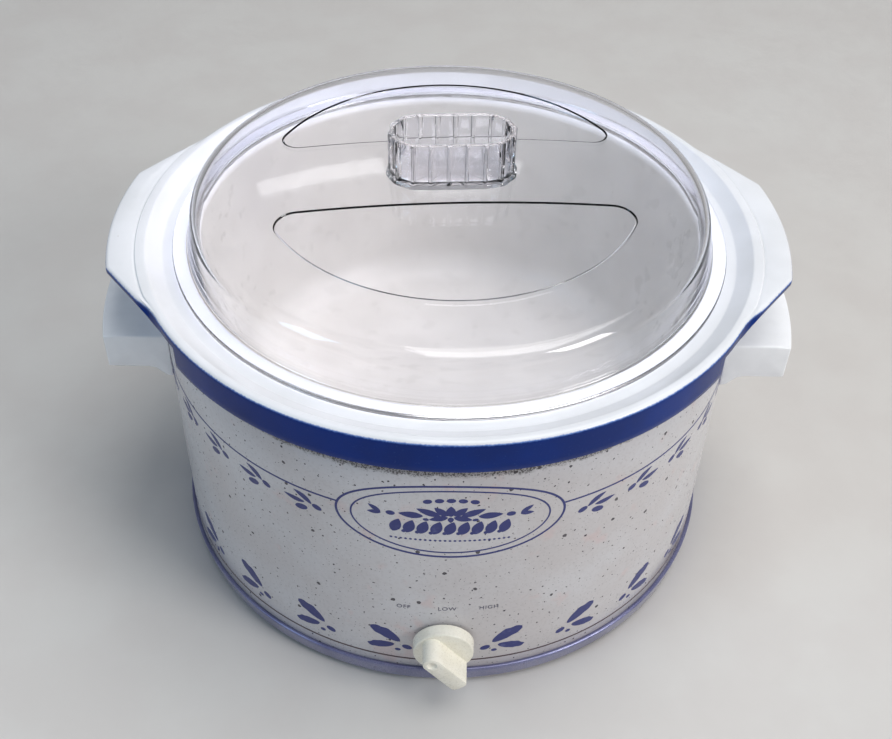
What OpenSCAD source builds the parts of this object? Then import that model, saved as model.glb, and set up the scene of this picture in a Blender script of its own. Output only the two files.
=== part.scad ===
// Round slow cooker with a lift-out stoneware crock, a clear domed lid and a three-position switch.
// Millimetres, +Z up. The origin is on the table, on the axis of the pot. The switch knob faces -Y.

/* [Crock] */
// Outer radius of the glazed rim
rim_r = 145; // [125:1:175]
// Height of the blue glazed band round the rim
rim_h = 16.8; // [12:0.2:24]
// Width of the flat top of the rim
rim_flat_w = 6; // [3:0.5:10]
// Width of the slope from the rim down to the lid seat
seat_slope_w = 5; // [3:0.5:8]
// Depth of the lid seat below the top of the rim
seat_drop = 4.3; // [3:0.1:8]
// Inside depth of the crock
crock_depth = 112; // [80:1:150]
// Thickness of the stoneware wall
crock_wall = 8; // [5:0.5:11]
// Thickness of the stoneware floor
crock_floor = 9; // [6:0.5:14]
// How much the crock narrows towards its floor
crock_taper = 9; // [2:0.5:14]
// How far each ear stands out past the rim
ear_reach = 13.5; // [8:0.5:24]
// Half the angle of the outer edge of each ear
ear_half_deg = 13.5; // [8:0.5:20]
// Thickness of the ears
ear_t = 4.5; // [3:0.5:8]

/* [Lid] */
// Play between the rim of the lid and the side of its seat
lid_play = 5; // [2:0.5:8]
// Thickness of the clear lid
lid_t = 2.6; // [2:0.1:4]
// Width of the flat rim of the lid
lid_rim_w = 7; // [5:0.5:12]
// Height of the top of the dome above the rim of the crock
dome_h = 28.5; // [20:0.5:45]
// How far the shoulder of the dome is below its top
shoulder_drop = 8.3; // [5:0.1:12]
// Radius of the shoulder of the dome
shoulder_r = 8; // [4:0.5:12]
// Turn of the lid on its seat, in degrees
lid_turn = 4; // [-180:1:180]
// Length of the finger cup on the lid
cup_len = 57; // [44:1:80]
// Width of the finger cup on the lid
cup_w = 28; // [22:1:40]
// Height of the finger cup above the top of the dome
cup_h = 21.5; // [14:0.5:32]
// Thickness of the wall of the finger cup
cup_wall = 2.2; // [1.6:0.1:3.5]

/* [Base] */
// How far the crock's rim overhangs the outer shell
rim_overhang = 7.9; // [5:0.1:12]
// Height of the bay below the heating well, for the switch
bay_h = 47.7; // [44:0.1:70]
// Thickness of the steel sheet of the shell and the heating well
sheet_t = 0.8; // [0.6:0.1:1.5]
// Air space between the shell and the heating well
wall_gap = 7.2; // [6:0.1:14]
// Gap between the crock and the wall of the heating well
crock_gap = 1.5; // [1:0.1:3]
// Gap between the crock and the floor of the heating well
floor_gap = 3; // [1:0.1:6]
// Height of the blue ring of the base pan
ring_h = 9.6; // [6:0.2:16]
// Thickness of the wall of the base pan
pan_t = 1.2; // [0.8:0.1:2]
// Height of the feet below the base pan
foot_h = 2.5; // [2:0.1:8]
// Radius of the feet
foot_r = 8; // [6:0.5:12]
// Radius of the circle that the feet stand on
feet_circle_r = 112; // [60:1:114]

/* [Handles] */
// How far the side handles stand out from the shell
handle_reach = 28.9; // [20:0.1:45]
// Half the width of a side handle
handle_half_w = 42; // [34:1:55]
// Drop from the rim to the top of the side handles
handle_drop = 38; // [34:1:60]
// Height of the side handles
handle_h = 19; // [15:1:28]
// Wall thickness of the side handles
handle_wall = 3.2; // [2.5:0.1:5]
// Half the distance between the two screws of a handle
handle_screw_y = 22; // [14:1:26]

/* [Switch] */
// Height of the switch shaft above the table
switch_z = 33.5; // [28:0.5:34]
// Radius of the switch shaft
shaft_r = 3; // [2:0.1:4]
// Radial clearance between the shaft and its bush
shaft_gap = 0.05; // [0.02:0.01:0.1]
// Radius of the skirt of the knob
knob_r = 14.2; // [12:0.1:18]
// Thickness of the skirt of the knob
skirt_h = 6; // [5:0.5:9]
// Height of the grip bar above the skirt
bar_h = 11.5; // [8:0.5:16]
// Width of the grip bar
bar_w = 9; // [8:0.5:12]
// Angle of OFF and of HIGH on either side of LOW
dial_deg = 38; // [30:1:60]

/* [Hidden] */
$fn = 96;

touch = 0.05;            // gap left between two pieces of one body that rest on each other
rest_gap = 0.3;          // gap left between two bodies that rest on each other

// radii, from the rim inwards
shell_r = rim_r - rim_overhang;
handle_r = shell_r + handle_reach;
shell_in_r = shell_r - sheet_t;
well_r = shell_in_r - wall_gap;
well_in_r = well_r - sheet_t;
crock_r = well_in_r - crock_gap;
crock_in_r = crock_r - crock_wall;
floor_round = 20;        // radius of the corner between the crock's inner wall and its floor
flat_in_r = rim_r - rim_flat_w;
seat_r = flat_in_r - seat_slope_w;
lid_r = seat_r - lid_play;
wall_r = lid_r - lid_rim_w;      // foot of the dome's wall
wall_lean = 2.5;                 // how far the wall of the dome leans in before its shoulder
top_r = wall_r - wall_lean - 7.5;
pan_r = shell_r + touch + pan_t + 0.7;

// heights, from the table upwards
pan_z = foot_h;
shell_z = pan_z + pan_t + touch;
well_z = bay_h;
crock_z = well_z + sheet_t + floor_gap;
rim_z = crock_z + crock_floor + crock_depth;
band_z = rim_z - rim_h;
well_top_z = band_z - rest_gap;
shell_top_z = well_top_z - sheet_t - touch;
seat_z = rim_z - seat_drop;
lid_z = seat_z + rest_gap;
dome_z = rim_z + dome_h;
shoulder_z = dome_z - shoulder_drop;
handle_top_z = rim_z - handle_drop;
handle_z = handle_top_z - handle_h;

// an ear's straight edges run from its corners to end just inside the rim
ear_r = rim_r + ear_reach;
ear_root_r = rim_r - 1.5;
ear_root_deg = ear_half_deg + acos(ear_root_r / ear_r);
relief_deg = ear_root_deg - 3;

// heater
heater_t = 2.2;
heater_h = 44;
heater_z = well_z + 14;
heater_r = well_r + touch;
strap_t = 0.4;
strap_w = 7;
strap_r = heater_r + heater_t + touch;
split_deg = 6;           // half the angle of the gap where the heater's two ends meet
tab_h = 3.2;             // height of the turned-out tabs at the ends of a strap
tab_deg = 1;
strap_screw_r = 0.9;
strap_screw_out = 1.6;   // how far outside its strap a strap screw lies

// centre fixing
stud_r = 2.5;
stud_end_z = foot_h + 0.5;
recess_r = 16;
recess_z = pan_z + 6.5;
nut_t = 4;
washer_t = 1;
shield_r = shell_in_r - 40.3;
shield_z = 24;
shield_t = 0.6;

// switch, along Y: distances are measured outwards from the axis of the pot
bush_r = 4.8;
washer_y = shell_r + touch;
nut_y = washer_y + 0.6 + touch;
switch_nut_t = 2.2;
bush_end_y = nut_y + switch_nut_t + 0.6;
knob_y = shell_r + 1;
hub_y = bush_end_y + 0.5;
face_y = knob_y + skirt_h;
knob_end_y = face_y + bar_h;
shaft_end_y = knob_end_y - 3.5;
boss_y = shell_in_r - 0.35;
housing_y = boss_y - 5;
housing_depth = 18;
housing_w = 28;
housing_h = 24;
housing_wall = 2;
cover_y = housing_y - housing_depth;
rotor_t = 5;
rotor_r = 8;
rotor_y = housing_y - housing_wall - 1;
flat_cut = 0.8;          // depth of the flat on the shaft
clip_w = 3;
clip_t = 0.5;
clip_y = hub_y + 0.5;
clip_len = shaft_end_y - clip_y - 1;

// cord inlet and terminal block
inlet_r = 4;
inlet_z = 30;
block_x = -34;           // middle of the terminal block
block_z = shield_z + 4;
lead_r = 1;
lead_path_r = shell_in_r - 2.2;
block_y = lead_path_r - 38.1;
lead_start_y = block_y + 14.4;           // a lead starts just behind the block
tap_r = heater_r + heater_t - 0.75;      // where a lead rises to the end of the heater band
tap_z = heater_z - lead_r - touch;
contact_len = 17;
contact_y = cover_y - 8;
contact_xs = [-8, 0, 8];
contact_drop = 8;                        // how far the contacts are below the shaft

// handle screws
screw_r = 2.4;
screw_z = handle_z + handle_h / 2;
boss_r = 5;              // boss in the handle that a screw bites into

function arc(cx, cy, r, a0, a1, n) =
    [for (i = [0:n]) let (a = a0 + (a1 - a0) * i / n) [cx + r * cos(a), cy + r * sin(a)]];

// height of the outside of the dome's top at radius r
function dome_at(r) = dome_z - shoulder_drop * pow(r / top_r, 2);

module tube(r_out, r_in, h) {
    difference() {
        cylinder(r = r_out, h = h);
        translate([0, 0, -1]) cylinder(r = r_in, h = h + 2);
    }
}

// lays a solid that stands on +Z along -Y, starting at distance y from the axis and height z
module face_out(y, z) {
    translate([0, -y, z]) rotate([90, 0, 0]) children();
}

// the same at the back, along +Y
module face_back(y, z) {
    translate([0, y, z]) rotate([-90, 0, 0]) children();
}

module hex(af, h) {
    cylinder(r = af / 2 / cos(30), h = h, $fn = 6);
}

// ---------------------------------------------------------------- crock

module ear_outline() {
    corner = 5;
    c = [for (s = [-1, 1]) [(ear_r - corner) * cos(ear_half_deg), s * (ear_r - corner) * sin(ear_half_deg)]];
    root = [for (s = [-1, 1]) [ear_root_r * cos(ear_root_deg), s * ear_root_r * sin(ear_root_deg)]];
    n = 12;
    polygon(concat(
        [[0, root[0][1]], root[0]],
        [for (i = [0:n]) let (a = -ear_root_deg + (ear_root_deg - ear_half_deg) * i / n) c[0] + corner * [cos(a), sin(a)]],
        arc(0, 0, ear_r, -ear_half_deg, ear_half_deg, 16),
        [for (i = [0:n]) let (a = ear_half_deg + (ear_root_deg - ear_half_deg) * i / n) c[1] + corner * [cos(a), sin(a)]],
        [root[1], [0, root[1][1]]]));
}

// cross-section of the stoneware, without the ears
module crock_section() {
    in_floor_r = crock_in_r - crock_taper;
    out_floor_r = crock_r - crock_taper;
    floor_z = crock_z + crock_floor;
    polygon(concat(
        [[0, crock_z], [out_floor_r - 8, crock_z]],
        arc(out_floor_r - 8, crock_z + 8, 8, -80, -10, 6),
        [[crock_r, band_z], [rim_r - 1.5, band_z], [rim_r, band_z + 1.5], [rim_r, rim_z - 2]],
        arc(rim_r - 2, rim_z - 2, 2, 10, 80, 4),
        [[flat_in_r + 1.5, rim_z], [seat_r, seat_z], [crock_in_r + 4, seat_z]],
        arc(crock_in_r + 4, seat_z - 4, 4, 100, 170, 4),
        [[in_floor_r + 1, floor_z + floor_round]],
        arc(in_floor_r + 1 - floor_round, floor_z + floor_round, floor_round, -10, -80, 6),
        [[0, floor_z]]));
}

// room for the fingers: the lower part of the band is cut back below each ear
module ear_relief() {
    h = rim_h - ear_t;
    for (a = [0, 180]) rotate([0, 0, a])
        translate([0, 0, band_z - 1])
            linear_extrude(h + 1)
                difference() {
                    polygon([[0, 0], [ear_r * 2, -ear_r * 2 * tan(relief_deg)],
                        [ear_r * 2, ear_r * 2 * tan(relief_deg)]]);
                    circle(r = shell_r + 1, $fn = 144);
                }
}

module crock() {
    color([0.93, 0.93, 0.91])
    union() {
        difference() {
            rotate_extrude($fn = 144) crock_section();
            ear_relief();
        }
        for (a = [0, 180]) rotate([0, 0, a])
            translate([0, 0, rim_z - ear_t - 0.4])
                linear_extrude(ear_t)
                    difference() {
                        ear_outline();
                        circle(r = flat_in_r + 2, $fn = 144);
                    }
    }
}

// ---------------------------------------------------------------- lid

// cross-section of the dome, from the flat rim over the shoulder to the axis
module lid_section() {
    n = 14;
    wall_top = shoulder_z - 8;
    outer = concat(
        [[lid_r, lid_z], [lid_r, lid_z + lid_t - 0.6], [lid_r - 0.6, lid_z + lid_t], [wall_r, lid_z + lid_t]],
        arc(wall_r - wall_lean - shoulder_r, wall_top, shoulder_r, 8, 62, 6),
        [for (i = [0:n]) let (r = (top_r - 1.5) * (1 - i / n)) [r, dome_at(r)]]);
    inner = concat(
        [for (i = [0:n]) let (r = (top_r - 2.5) * i / n) [r, dome_at(r) - lid_t]],
        arc(wall_r - wall_lean - shoulder_r, wall_top, shoulder_r - lid_t, 62, 8, 6),
        [[wall_r - lid_t, lid_z]]);
    polygon(concat(outer, inner));
}

module lid_dome() {
    color([0.86, 0.87, 0.93, 0.4])
    rotate([0, 0, lid_turn])
        rotate_extrude($fn = 144) lid_section();
}

module stadium(len, w) {
    union() {
        square([len - w, w], center = true);
        for (s = [-1, 1]) translate([s * (len - w) / 2, 0]) circle(r = w / 2, $fn = 48);
    }
}

module lid_handle() {
    cup_z = dome_z + 0.1;
    foot_len = cup_len + 3;
    color([0.86, 0.87, 0.95, 0.4])
    rotate([0, 0, lid_turn])
    difference() {
        union() {
            translate([0, 0, cup_z]) linear_extrude(1.6) stadium(foot_len, cup_w + 3);
            translate([0, 0, cup_z]) linear_extrude(cup_h) stadium(cup_len, cup_w);
        }
        translate([0, 0, cup_z + 1.4])
            linear_extrude(cup_h + 1) stadium(cup_len - 2 * cup_wall, cup_w - 2 * cup_wall);
    }
}

// ---------------------------------------------------------------- shell, well and base pan

module outer_shell() {
    color([0.70, 0.68, 0.66])
    difference() {
        translate([0, 0, shell_z]) tube(shell_r, shell_in_r, shell_top_z - shell_z);
        face_out(shell_in_r - 5, switch_z) cylinder(r = bush_r + touch, h = 10);
        face_back(shell_in_r - 5, inlet_z) cylinder(r = inlet_r + 1.6 + touch, h = 10);
        for (a = [0, 180], y = [-1, 1]) rotate([0, 0, a])
            translate([shell_r - 12, y * handle_screw_y, screw_z]) rotate([0, 90, 0])
                cylinder(r = screw_r + 0.2, h = 20);
    }
}

module heating_well() {
    corner = 10;
    color([0.78, 0.78, 0.79])
    rotate_extrude($fn = 144)
        polygon(concat(
            [[0, well_z]],
            arc(well_r - corner, well_z + corner, corner, -90, 0, 8),
            [[well_r, well_top_z - sheet_t], [shell_r + touch, well_top_z - sheet_t],
             [shell_r + touch, well_top_z - 5], [shell_r + touch + sheet_t, well_top_z - 5],
             [shell_r + touch + sheet_t, well_top_z - 0.6], [shell_r + touch + sheet_t - 0.6, well_top_z],
             [well_in_r, well_top_z]],
            arc(well_r - corner, well_z + corner, corner - sheet_t, 0, -90, 8),
            [[0, well_z + sheet_t]]));
}

// a band that goes round the well but for a gap at the back
module split_ring(r_in, t, h, gap_deg) {
    rotate([0, 0, 90 + gap_deg])
        rotate_extrude(angle = 360 - 2 * gap_deg, $fn = 144)
            translate([r_in, 0]) square([t, h]);
}

module heater_band() {
    color([0.80, 0.72, 0.55])
    translate([0, 0, heater_z]) split_ring(heater_r, heater_t, heater_h, split_deg);
}

strap_zs = [heater_z + 5, heater_z + heater_h - 5 - strap_w];

module band_straps() {
    color([0.72, 0.73, 0.75])
    for (z = strap_zs)
        translate([0, 0, z])
            difference() {
                union() {
                    split_ring(strap_r, strap_t, strap_w, split_deg - 2);
                    for (s = [-1, 1]) rotate([0, 0, 90 + s * (split_deg - 2 + tab_deg / 2)])
                        translate([strap_r, -0.4, 0]) cube([tab_h, 0.8, strap_w]);
                }
                translate([-20, strap_r + strap_screw_out, strap_w / 2]) rotate([0, 90, 0])
                    cylinder(r = strap_screw_r + touch, h = 40, $fn = 32);
            }
}

module strap_screws() {
    half_x = strap_r * sin(split_deg - 2 + tab_deg / 2) + 0.7;
    head_r = 1.3;
    head_t = 1.6;
    color([0.60, 0.60, 0.62])
    for (z = strap_zs)
        translate([0, strap_r + strap_screw_out, z + strap_w / 2]) rotate([0, 90, 0]) {
            translate([0, 0, -half_x]) cylinder(r = strap_screw_r, h = 2 * half_x, $fn = 32);
            translate([0, 0, half_x]) cylinder(r = head_r, h = head_t, $fn = 32);
            translate([0, 0, -half_x - head_t]) cylinder(r = head_r, h = head_t, $fn = 32);
        }
}

feet_degs = [45, 135, 225, 315];

module base_pan() {
    color([0.22, 0.27, 0.48])
    difference() {
        rotate_extrude($fn = 144)
            polygon([[0, recess_z], [recess_r, recess_z], [recess_r + 2, pan_z], [pan_r - 1.6, pan_z],
                [pan_r - 1.1, pan_z + 0.5], [pan_r, pan_z + ring_h - 0.6], [pan_r - 0.6, pan_z + ring_h],
                [shell_r + touch, pan_z + ring_h], [shell_r + touch, pan_z + pan_t],
                [recess_r + 3, pan_z + pan_t], [recess_r + 1, recess_z + pan_t], [0, recess_z + pan_t]]);
        translate([0, 0, recess_z - 1]) cylinder(r = stud_r + 0.3, h = 4);
        for (a = feet_degs) rotate([0, 0, a])
            translate([feet_circle_r, 0, pan_z - 1]) cylinder(r = 3 + touch, h = 4);
        for (i = [0:11]) rotate([0, 0, 15 + 30 * i])
            translate([60, -2, pan_z - 1]) cube([22, 4, 4]);
    }
}

module feet() {
    color([0.25, 0.25, 0.27])
    for (a = feet_degs) rotate([0, 0, a]) translate([feet_circle_r, 0, 0]) {
        rotate_extrude($fn = 64)
            polygon([[0, 0], [foot_r - 1, 0], [foot_r, 1], [foot_r, pan_z - touch], [3, pan_z - touch],
                [3, pan_z + pan_t + touch], [4.2, pan_z + pan_t + touch], [2.6, pan_z + pan_t + 3],
                [0, pan_z + pan_t + 3]]);
    }
}

module heat_shield() {
    color([0.80, 0.80, 0.80])
    translate([0, 0, shield_z])
        difference() {
            rotate_extrude($fn = 144)
                polygon([[0, 0], [shield_r, 0], [shield_r, 3], [shield_r - shield_t, 3],
                    [shield_r - shield_t, shield_t], [0, shield_t]]);
            translate([0, 0, -1]) cylinder(r = stud_r + 0.3, h = 5);
        }
}

module shield_spacer() {
    low_z = recess_z + pan_t + touch;
    color([0.75, 0.75, 0.75])
    union() {
        translate([0, 0, low_z]) tube(5, stud_r + 0.3, shield_z - touch - low_z);
        translate([0, 0, shield_z + shield_t + touch])
            tube(5, stud_r + 0.3, well_z - 2 * touch - 1.5 - shield_z - shield_t);
    }
}

module centre_stud() {
    color([0.66, 0.66, 0.68])
    union() {
        translate([0, 0, stud_end_z]) cylinder(r = stud_r, h = well_z - touch - stud_end_z);
        translate([0, 0, well_z - touch - 1.4]) cylinder(r = 8, h = 1.4);
    }
}

module centre_washer() {
    color([0.72, 0.72, 0.72])
    translate([0, 0, recess_z - touch - washer_t]) tube(6, stud_r + 0.2, washer_t);
}

module centre_nut() {
    color([0.66, 0.66, 0.62])
    translate([0, 0, recess_z - 2 * touch - washer_t - nut_t])
        difference() {
            hex(8, nut_t);
            translate([0, 0, -1]) cylinder(r = stud_r + 0.02, h = nut_t + 2);
        }
}

// ---------------------------------------------------------------- side handles

module handle_plan(grow) {
    intersection() {
        circle(r = handle_r + grow, $fn = 144);
        translate([shell_r - 20, -handle_half_w - grow])
            square([80, 2 * (handle_half_w + grow)]);
    }
}

// an upside-down tray that is open below for the fingers, with a flared foot against the shell
module side_handle() {
    foot_drop = 6;
    difference() {
        union() {
            translate([0, 0, handle_z]) linear_extrude(handle_h) handle_plan(0);
            translate([0, 0, handle_z - foot_drop / 2]) linear_extrude(foot_drop)
                intersection() {
                    handle_plan(0);
                    circle(r = shell_r + 6, $fn = 144);
                }
            translate([0, 0, handle_z - foot_drop]) linear_extrude(foot_drop)
                intersection() {
                    handle_plan(0);
                    circle(r = shell_r + 4, $fn = 144);
                }
        }
        translate([0, 0, handle_z - foot_drop - 1])
            cylinder(r = shell_r + touch, h = handle_h + foot_drop + 2, $fn = 144);
        translate([0, 0, handle_z - foot_drop - 1])
            linear_extrude(handle_h + foot_drop + 1 - handle_wall)
                difference() {
                    handle_plan(-handle_wall);
                    circle(r = shell_r + handle_wall, $fn = 144);
                    for (s = [-1, 1]) translate([shell_r, s * handle_screw_y - boss_r])
                        square([8, 2 * boss_r]);
                }
        for (s = [-1, 1]) translate([shell_r - 12, s * handle_screw_y, screw_z])
            rotate([0, 90, 0]) cylinder(r = screw_r + touch, h = 19);
    }
}

module left_handle() {
    color([0.93, 0.94, 0.95]) rotate([0, 0, 180]) side_handle();
}

module right_handle() {
    color([0.93, 0.94, 0.95]) side_handle();
}

module handle_screws() {
    head_x = sqrt(pow(shell_in_r, 2) - pow(handle_screw_y + 4, 2)) - touch;
    color([0.68, 0.68, 0.70])
    for (a = [0, 180], s = [-1, 1]) rotate([0, 0, a])
        translate([head_x, s * handle_screw_y, screw_z]) rotate([0, 90, 0]) {
            translate([0, 0, -2]) cylinder(r = 4, h = 2, $fn = 48);
            translate([0, 0, -0.1]) cylinder(r = screw_r, h = 9.5, $fn = 48);
        }
}

// ---------------------------------------------------------------- knob and switch

// outline of the grip bar, with its round nose up at OFF
module bar_outline() {
    rotate([0, 0, dial_deg])
        intersection() {
            circle(r = knob_r - 0.2, $fn = 96);
            union() {
                translate([-bar_w / 2, -knob_r]) square([bar_w, 2 * knob_r - bar_w / 2 - 1.4]);
                translate([0, knob_r - bar_w / 2 - 1.4]) circle(r = bar_w / 2, $fn = 48);
            }
        }
}

module shaft_outline(grow) {
    intersection() {
        circle(r = shaft_r + grow, $fn = 48);
        translate([-shaft_r - 1, -shaft_r - 1]) square([2 * shaft_r + 2, 2 * shaft_r + 1 - flat_cut + grow]);
    }
}

module knob() {
    color([0.94, 0.93, 0.88])
    face_out(knob_y, switch_z)
        difference() {
            union() {
                rotate_extrude($fn = 96)
                    polygon([[0, 0], [knob_r - 0.3, 0], [knob_r, 0.3], [knob_r, skirt_h - 1],
                        [knob_r - 1, skirt_h], [0, skirt_h]]);
                translate([0, 0, skirt_h - 1]) linear_extrude(bar_h + 1) bar_outline();
            }
            difference() {
                translate([0, 0, -1]) cylinder(r = knob_r - 2, h = skirt_h);
                translate([0, 0, hub_y - knob_y]) cylinder(r = 6, h = skirt_h);
            }
            translate([0, 0, -1]) cylinder(r = 6, h = 1 + hub_y - knob_y);
            translate([0, 0, 1]) linear_extrude(shaft_end_y - knob_y - 1 + 0.5) shaft_outline(touch);
            translate([-clip_w / 2 - touch, shaft_r - flat_cut, clip_y - knob_y - 1])
                cube([clip_w + 2 * touch, clip_t + 2 * touch, clip_len + 1 + touch]);
            rotate([0, 0, dial_deg]) translate([0, knob_r - bar_w / 2 - 1.4, skirt_h + bar_h - 0.8])
                cylinder(r = 2.4, h = 2, $fn = 48);
        }
}

// the leaf spring that grips the flat of the shaft
module knob_clip() {
    color([0.75, 0.75, 0.76])
    face_out(clip_y, switch_z)
        translate([-clip_w / 2, shaft_r - flat_cut + touch, 0]) cube([clip_w, clip_t, clip_len]);
}

module switch_shaft() {
    low_y = cover_y + 3;
    color([0.72, 0.70, 0.64])
    face_out(low_y, switch_z)
        union() {
            cylinder(r = shaft_r, h = hub_y - low_y);
            linear_extrude(shaft_end_y - low_y) shaft_outline(0);
        }
}

module switch_rotor() {
    color([0.90, 0.88, 0.80])
    face_out(rotor_y - rotor_t, switch_z)
        difference() {
            union() {
                cylinder(r = rotor_r, h = rotor_t);
                translate([0, 0, 1]) linear_extrude(rotor_t - 2)
                    polygon([[-2, 0], [2, 0], [1.2, rotor_r + 1.2], [-1.2, rotor_r + 1.2]]);
            }
            translate([0, 0, -1]) cylinder(r = shaft_r + touch, h = rotor_t + 2);
        }
}

module switch_housing() {
    color([0.20, 0.19, 0.18])
    face_out(cover_y, switch_z)
        difference() {
            union() {
                translate([-housing_w / 2, -housing_h / 2, 0]) cube([housing_w, housing_h, housing_depth]);
                translate([0, 0, housing_depth - 1]) cylinder(r = 8, h = boss_y - housing_y + 1);
                cylinder(r = bush_r, h = bush_end_y - cover_y);
            }
            translate([housing_wall - housing_w / 2, housing_wall - housing_h / 2, -1])
                cube([housing_w - 2 * housing_wall, housing_h - 2 * housing_wall, housing_depth + 1 - housing_wall]);
            translate([0, 0, -1]) cylinder(r = shaft_r + shaft_gap, h = bush_end_y - cover_y + 2);
        }
}

module switch_cover() {
    color([0.45, 0.30, 0.18])
    face_out(cover_y - 1.5 - touch, switch_z)
        difference() {
            translate([-housing_w / 2, -housing_h / 2, 0]) cube([housing_w, housing_h, 1.5]);
            for (x = contact_xs) translate([x - 2.6, -contact_drop - 0.6, -1]) cube([5.2, 1.2, 4]);
        }
}

module switch_contacts() {
    color([0.80, 0.65, 0.30])
    for (x = contact_xs)
        face_out(contact_y, switch_z)
            translate([x - 2.4, -contact_drop - 0.4, 0]) cube([4.8, 0.8, contact_len]);
}

module switch_washer() {
    color([0.72, 0.72, 0.72])
    face_out(washer_y, switch_z) tube(7.6, bush_r + touch, 0.6);
}

module switch_nut() {
    color([0.75, 0.74, 0.70])
    face_out(nut_y, switch_z)
        difference() {
            hex(13, switch_nut_t);
            translate([0, 0, -1]) cylinder(r = bush_r + touch, h = switch_nut_t + 2);
        }
}

// ---------------------------------------------------------------- cord inlet, terminals and leads

module cord_gland() {
    lip = 1.5;
    color([0.16, 0.16, 0.17])
    face_back(shell_in_r - lip - 1, inlet_z)
        difference() {
            union() {
                cylinder(r = inlet_r + 1.6, h = sheet_t + 2 * lip + 2);
                cylinder(r = inlet_r + 4, h = lip);
                translate([0, 0, sheet_t + lip + 2]) cylinder(r = inlet_r + 4, h = lip);
            }
            translate([0, 0, -1]) cylinder(r = inlet_r, h = 12);
        }
}

module terminal_block() {
    color([0.90, 0.88, 0.84])
    translate([block_x - 12, block_y, block_z])
        difference() {
            cube([24, 14, 12]);
            for (x = [6, 18]) translate([x, 7, 7]) cylinder(r = 2.1, h = 6, $fn = 32);
        }
}

module terminal_screws() {
    color([0.72, 0.70, 0.66])
    for (x = [6, 18])
        translate([block_x - 12 + x, block_y + 7, block_z + 7 + touch]) {
            cylinder(r = 1.2, h = 3.4, $fn = 32);
            translate([0, 0, 3.2]) cylinder(r = 2, h = 1.4, $fn = 32);
        }
}

// a point at radius r, angle a and height z
function at(r, a, z) = [r * cos(a), r * sin(a), z];

// the points of a lead that runs round at radius r and height z from the angle a0 to the angle a1
function round_run(r, z, a0, a1) =
    let (n = ceil(abs(a1 - a0) / 8)) [for (i = [0:n]) at(r, a0 + (a1 - a0) * i / n, z)];

// under the switch and up to the contact at x
function contact_run(x, z) =
    [[x, -(contact_y - 5), z], [x, -(contact_y - 4), z + 2], [x, -(contact_y - touch - lead_r), switch_z - contact_drop]];

// beside the heating well to the end of the heater band at the angle a
function heater_run(a, z) = [at(lead_path_r - 0.5, a, z + 3), at(tap_r, a, tap_z)];

function unit(v) = v / norm(v);

// a round lead swept along its points, as one closed surface
module lead(points) {
    sides = 8;
    last = len(points) - 1;
    lean = [0.31, 0.27, 0.91];
    rings = [for (i = [0:last])
        let (along = unit(points[min(i + 1, last)] - points[max(i - 1, 0)]),
             across = unit(cross(along, lean)),
             other = cross(along, across))
        for (k = [0:sides - 1])
            let (a = 360 * k / sides) points[i] + lead_r * (cos(a) * across + sin(a) * other)];
    walls = [for (i = [0:last - 1], k = [0:sides - 1])
        let (n = (k + 1) % sides) [i * sides + k, i * sides + n, (i + 1) * sides + n, (i + 1) * sides + k]];
    ends = [[for (k = [sides - 1:-1:0]) k], [for (k = [0:sides - 1]) last * sides + k]];
    polyhedron(rings, concat(walls, ends));
}

module line_lead() {
    z = 17;
    start = [block_x - 6, lead_start_y, block_z + 4];
    color([0.55, 0.25, 0.15])
    lead(concat([start, start + [-1, 4, -1]], round_run(lead_path_r - 10, z, 116, 260), contact_run(contact_xs[0], z)));
}

module neutral_lead() {
    start = [block_x + 6, lead_start_y, block_z + 4];
    color([0.25, 0.35, 0.65])
    lead([start, start + [1, 6, 0], at(lead_path_r - 5, 99, block_z + 3),
        at(lead_path_r - 3, 97.5, block_z + 8), at(tap_r, 97.5, tap_z)]);
}

module low_lead() {
    z = 10;
    color([0.85, 0.85, 0.80])
    lead(concat([for (p = [2:-1:0]) contact_run(contact_xs[1], z)[p]],
        round_run(lead_path_r, z, -76, 82.5), heater_run(82.5, z)));
}

module high_lead() {
    z = 14;
    color([0.75, 0.20, 0.18])
    lead(concat([for (p = [2:-1:0]) contact_run(contact_xs[2], z)[p]],
        round_run(lead_path_r, z, -72, 79.5), heater_run(79.5, z)));
}

crock();
lid_dome();
lid_handle();
outer_shell();
heating_well();
heater_band();
band_straps();
strap_screws();
base_pan();
feet();
heat_shield();
shield_spacer();
centre_stud();
centre_washer();
centre_nut();
left_handle();
right_handle();
handle_screws();
knob();
knob_clip();
switch_shaft();
switch_rotor();
switch_housing();
switch_cover();
switch_contacts();
switch_washer();
switch_nut();
cord_gland();
terminal_block();
terminal_screws();
line_lead();
neutral_lead();
low_lead();
high_lead();
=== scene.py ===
# %% [markdown]
# # A round slow cooker, dressed around its fixed frame
# The sizes, the joints and every part that fits another are already made. What is left is what the
# eye sees: glazed stoneware, a clear moulded lid, a printed steel shell, white grips and an ivory knob.
# Each part below gets a mesh that is finer than the frame's own and a finish made of shader nodes.

# %% Load the frame and measure it
import math

import bmesh
import bpy
from mathutils import Matrix, Vector
from mathutils.geometry import delaunay_2d_cdt


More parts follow.
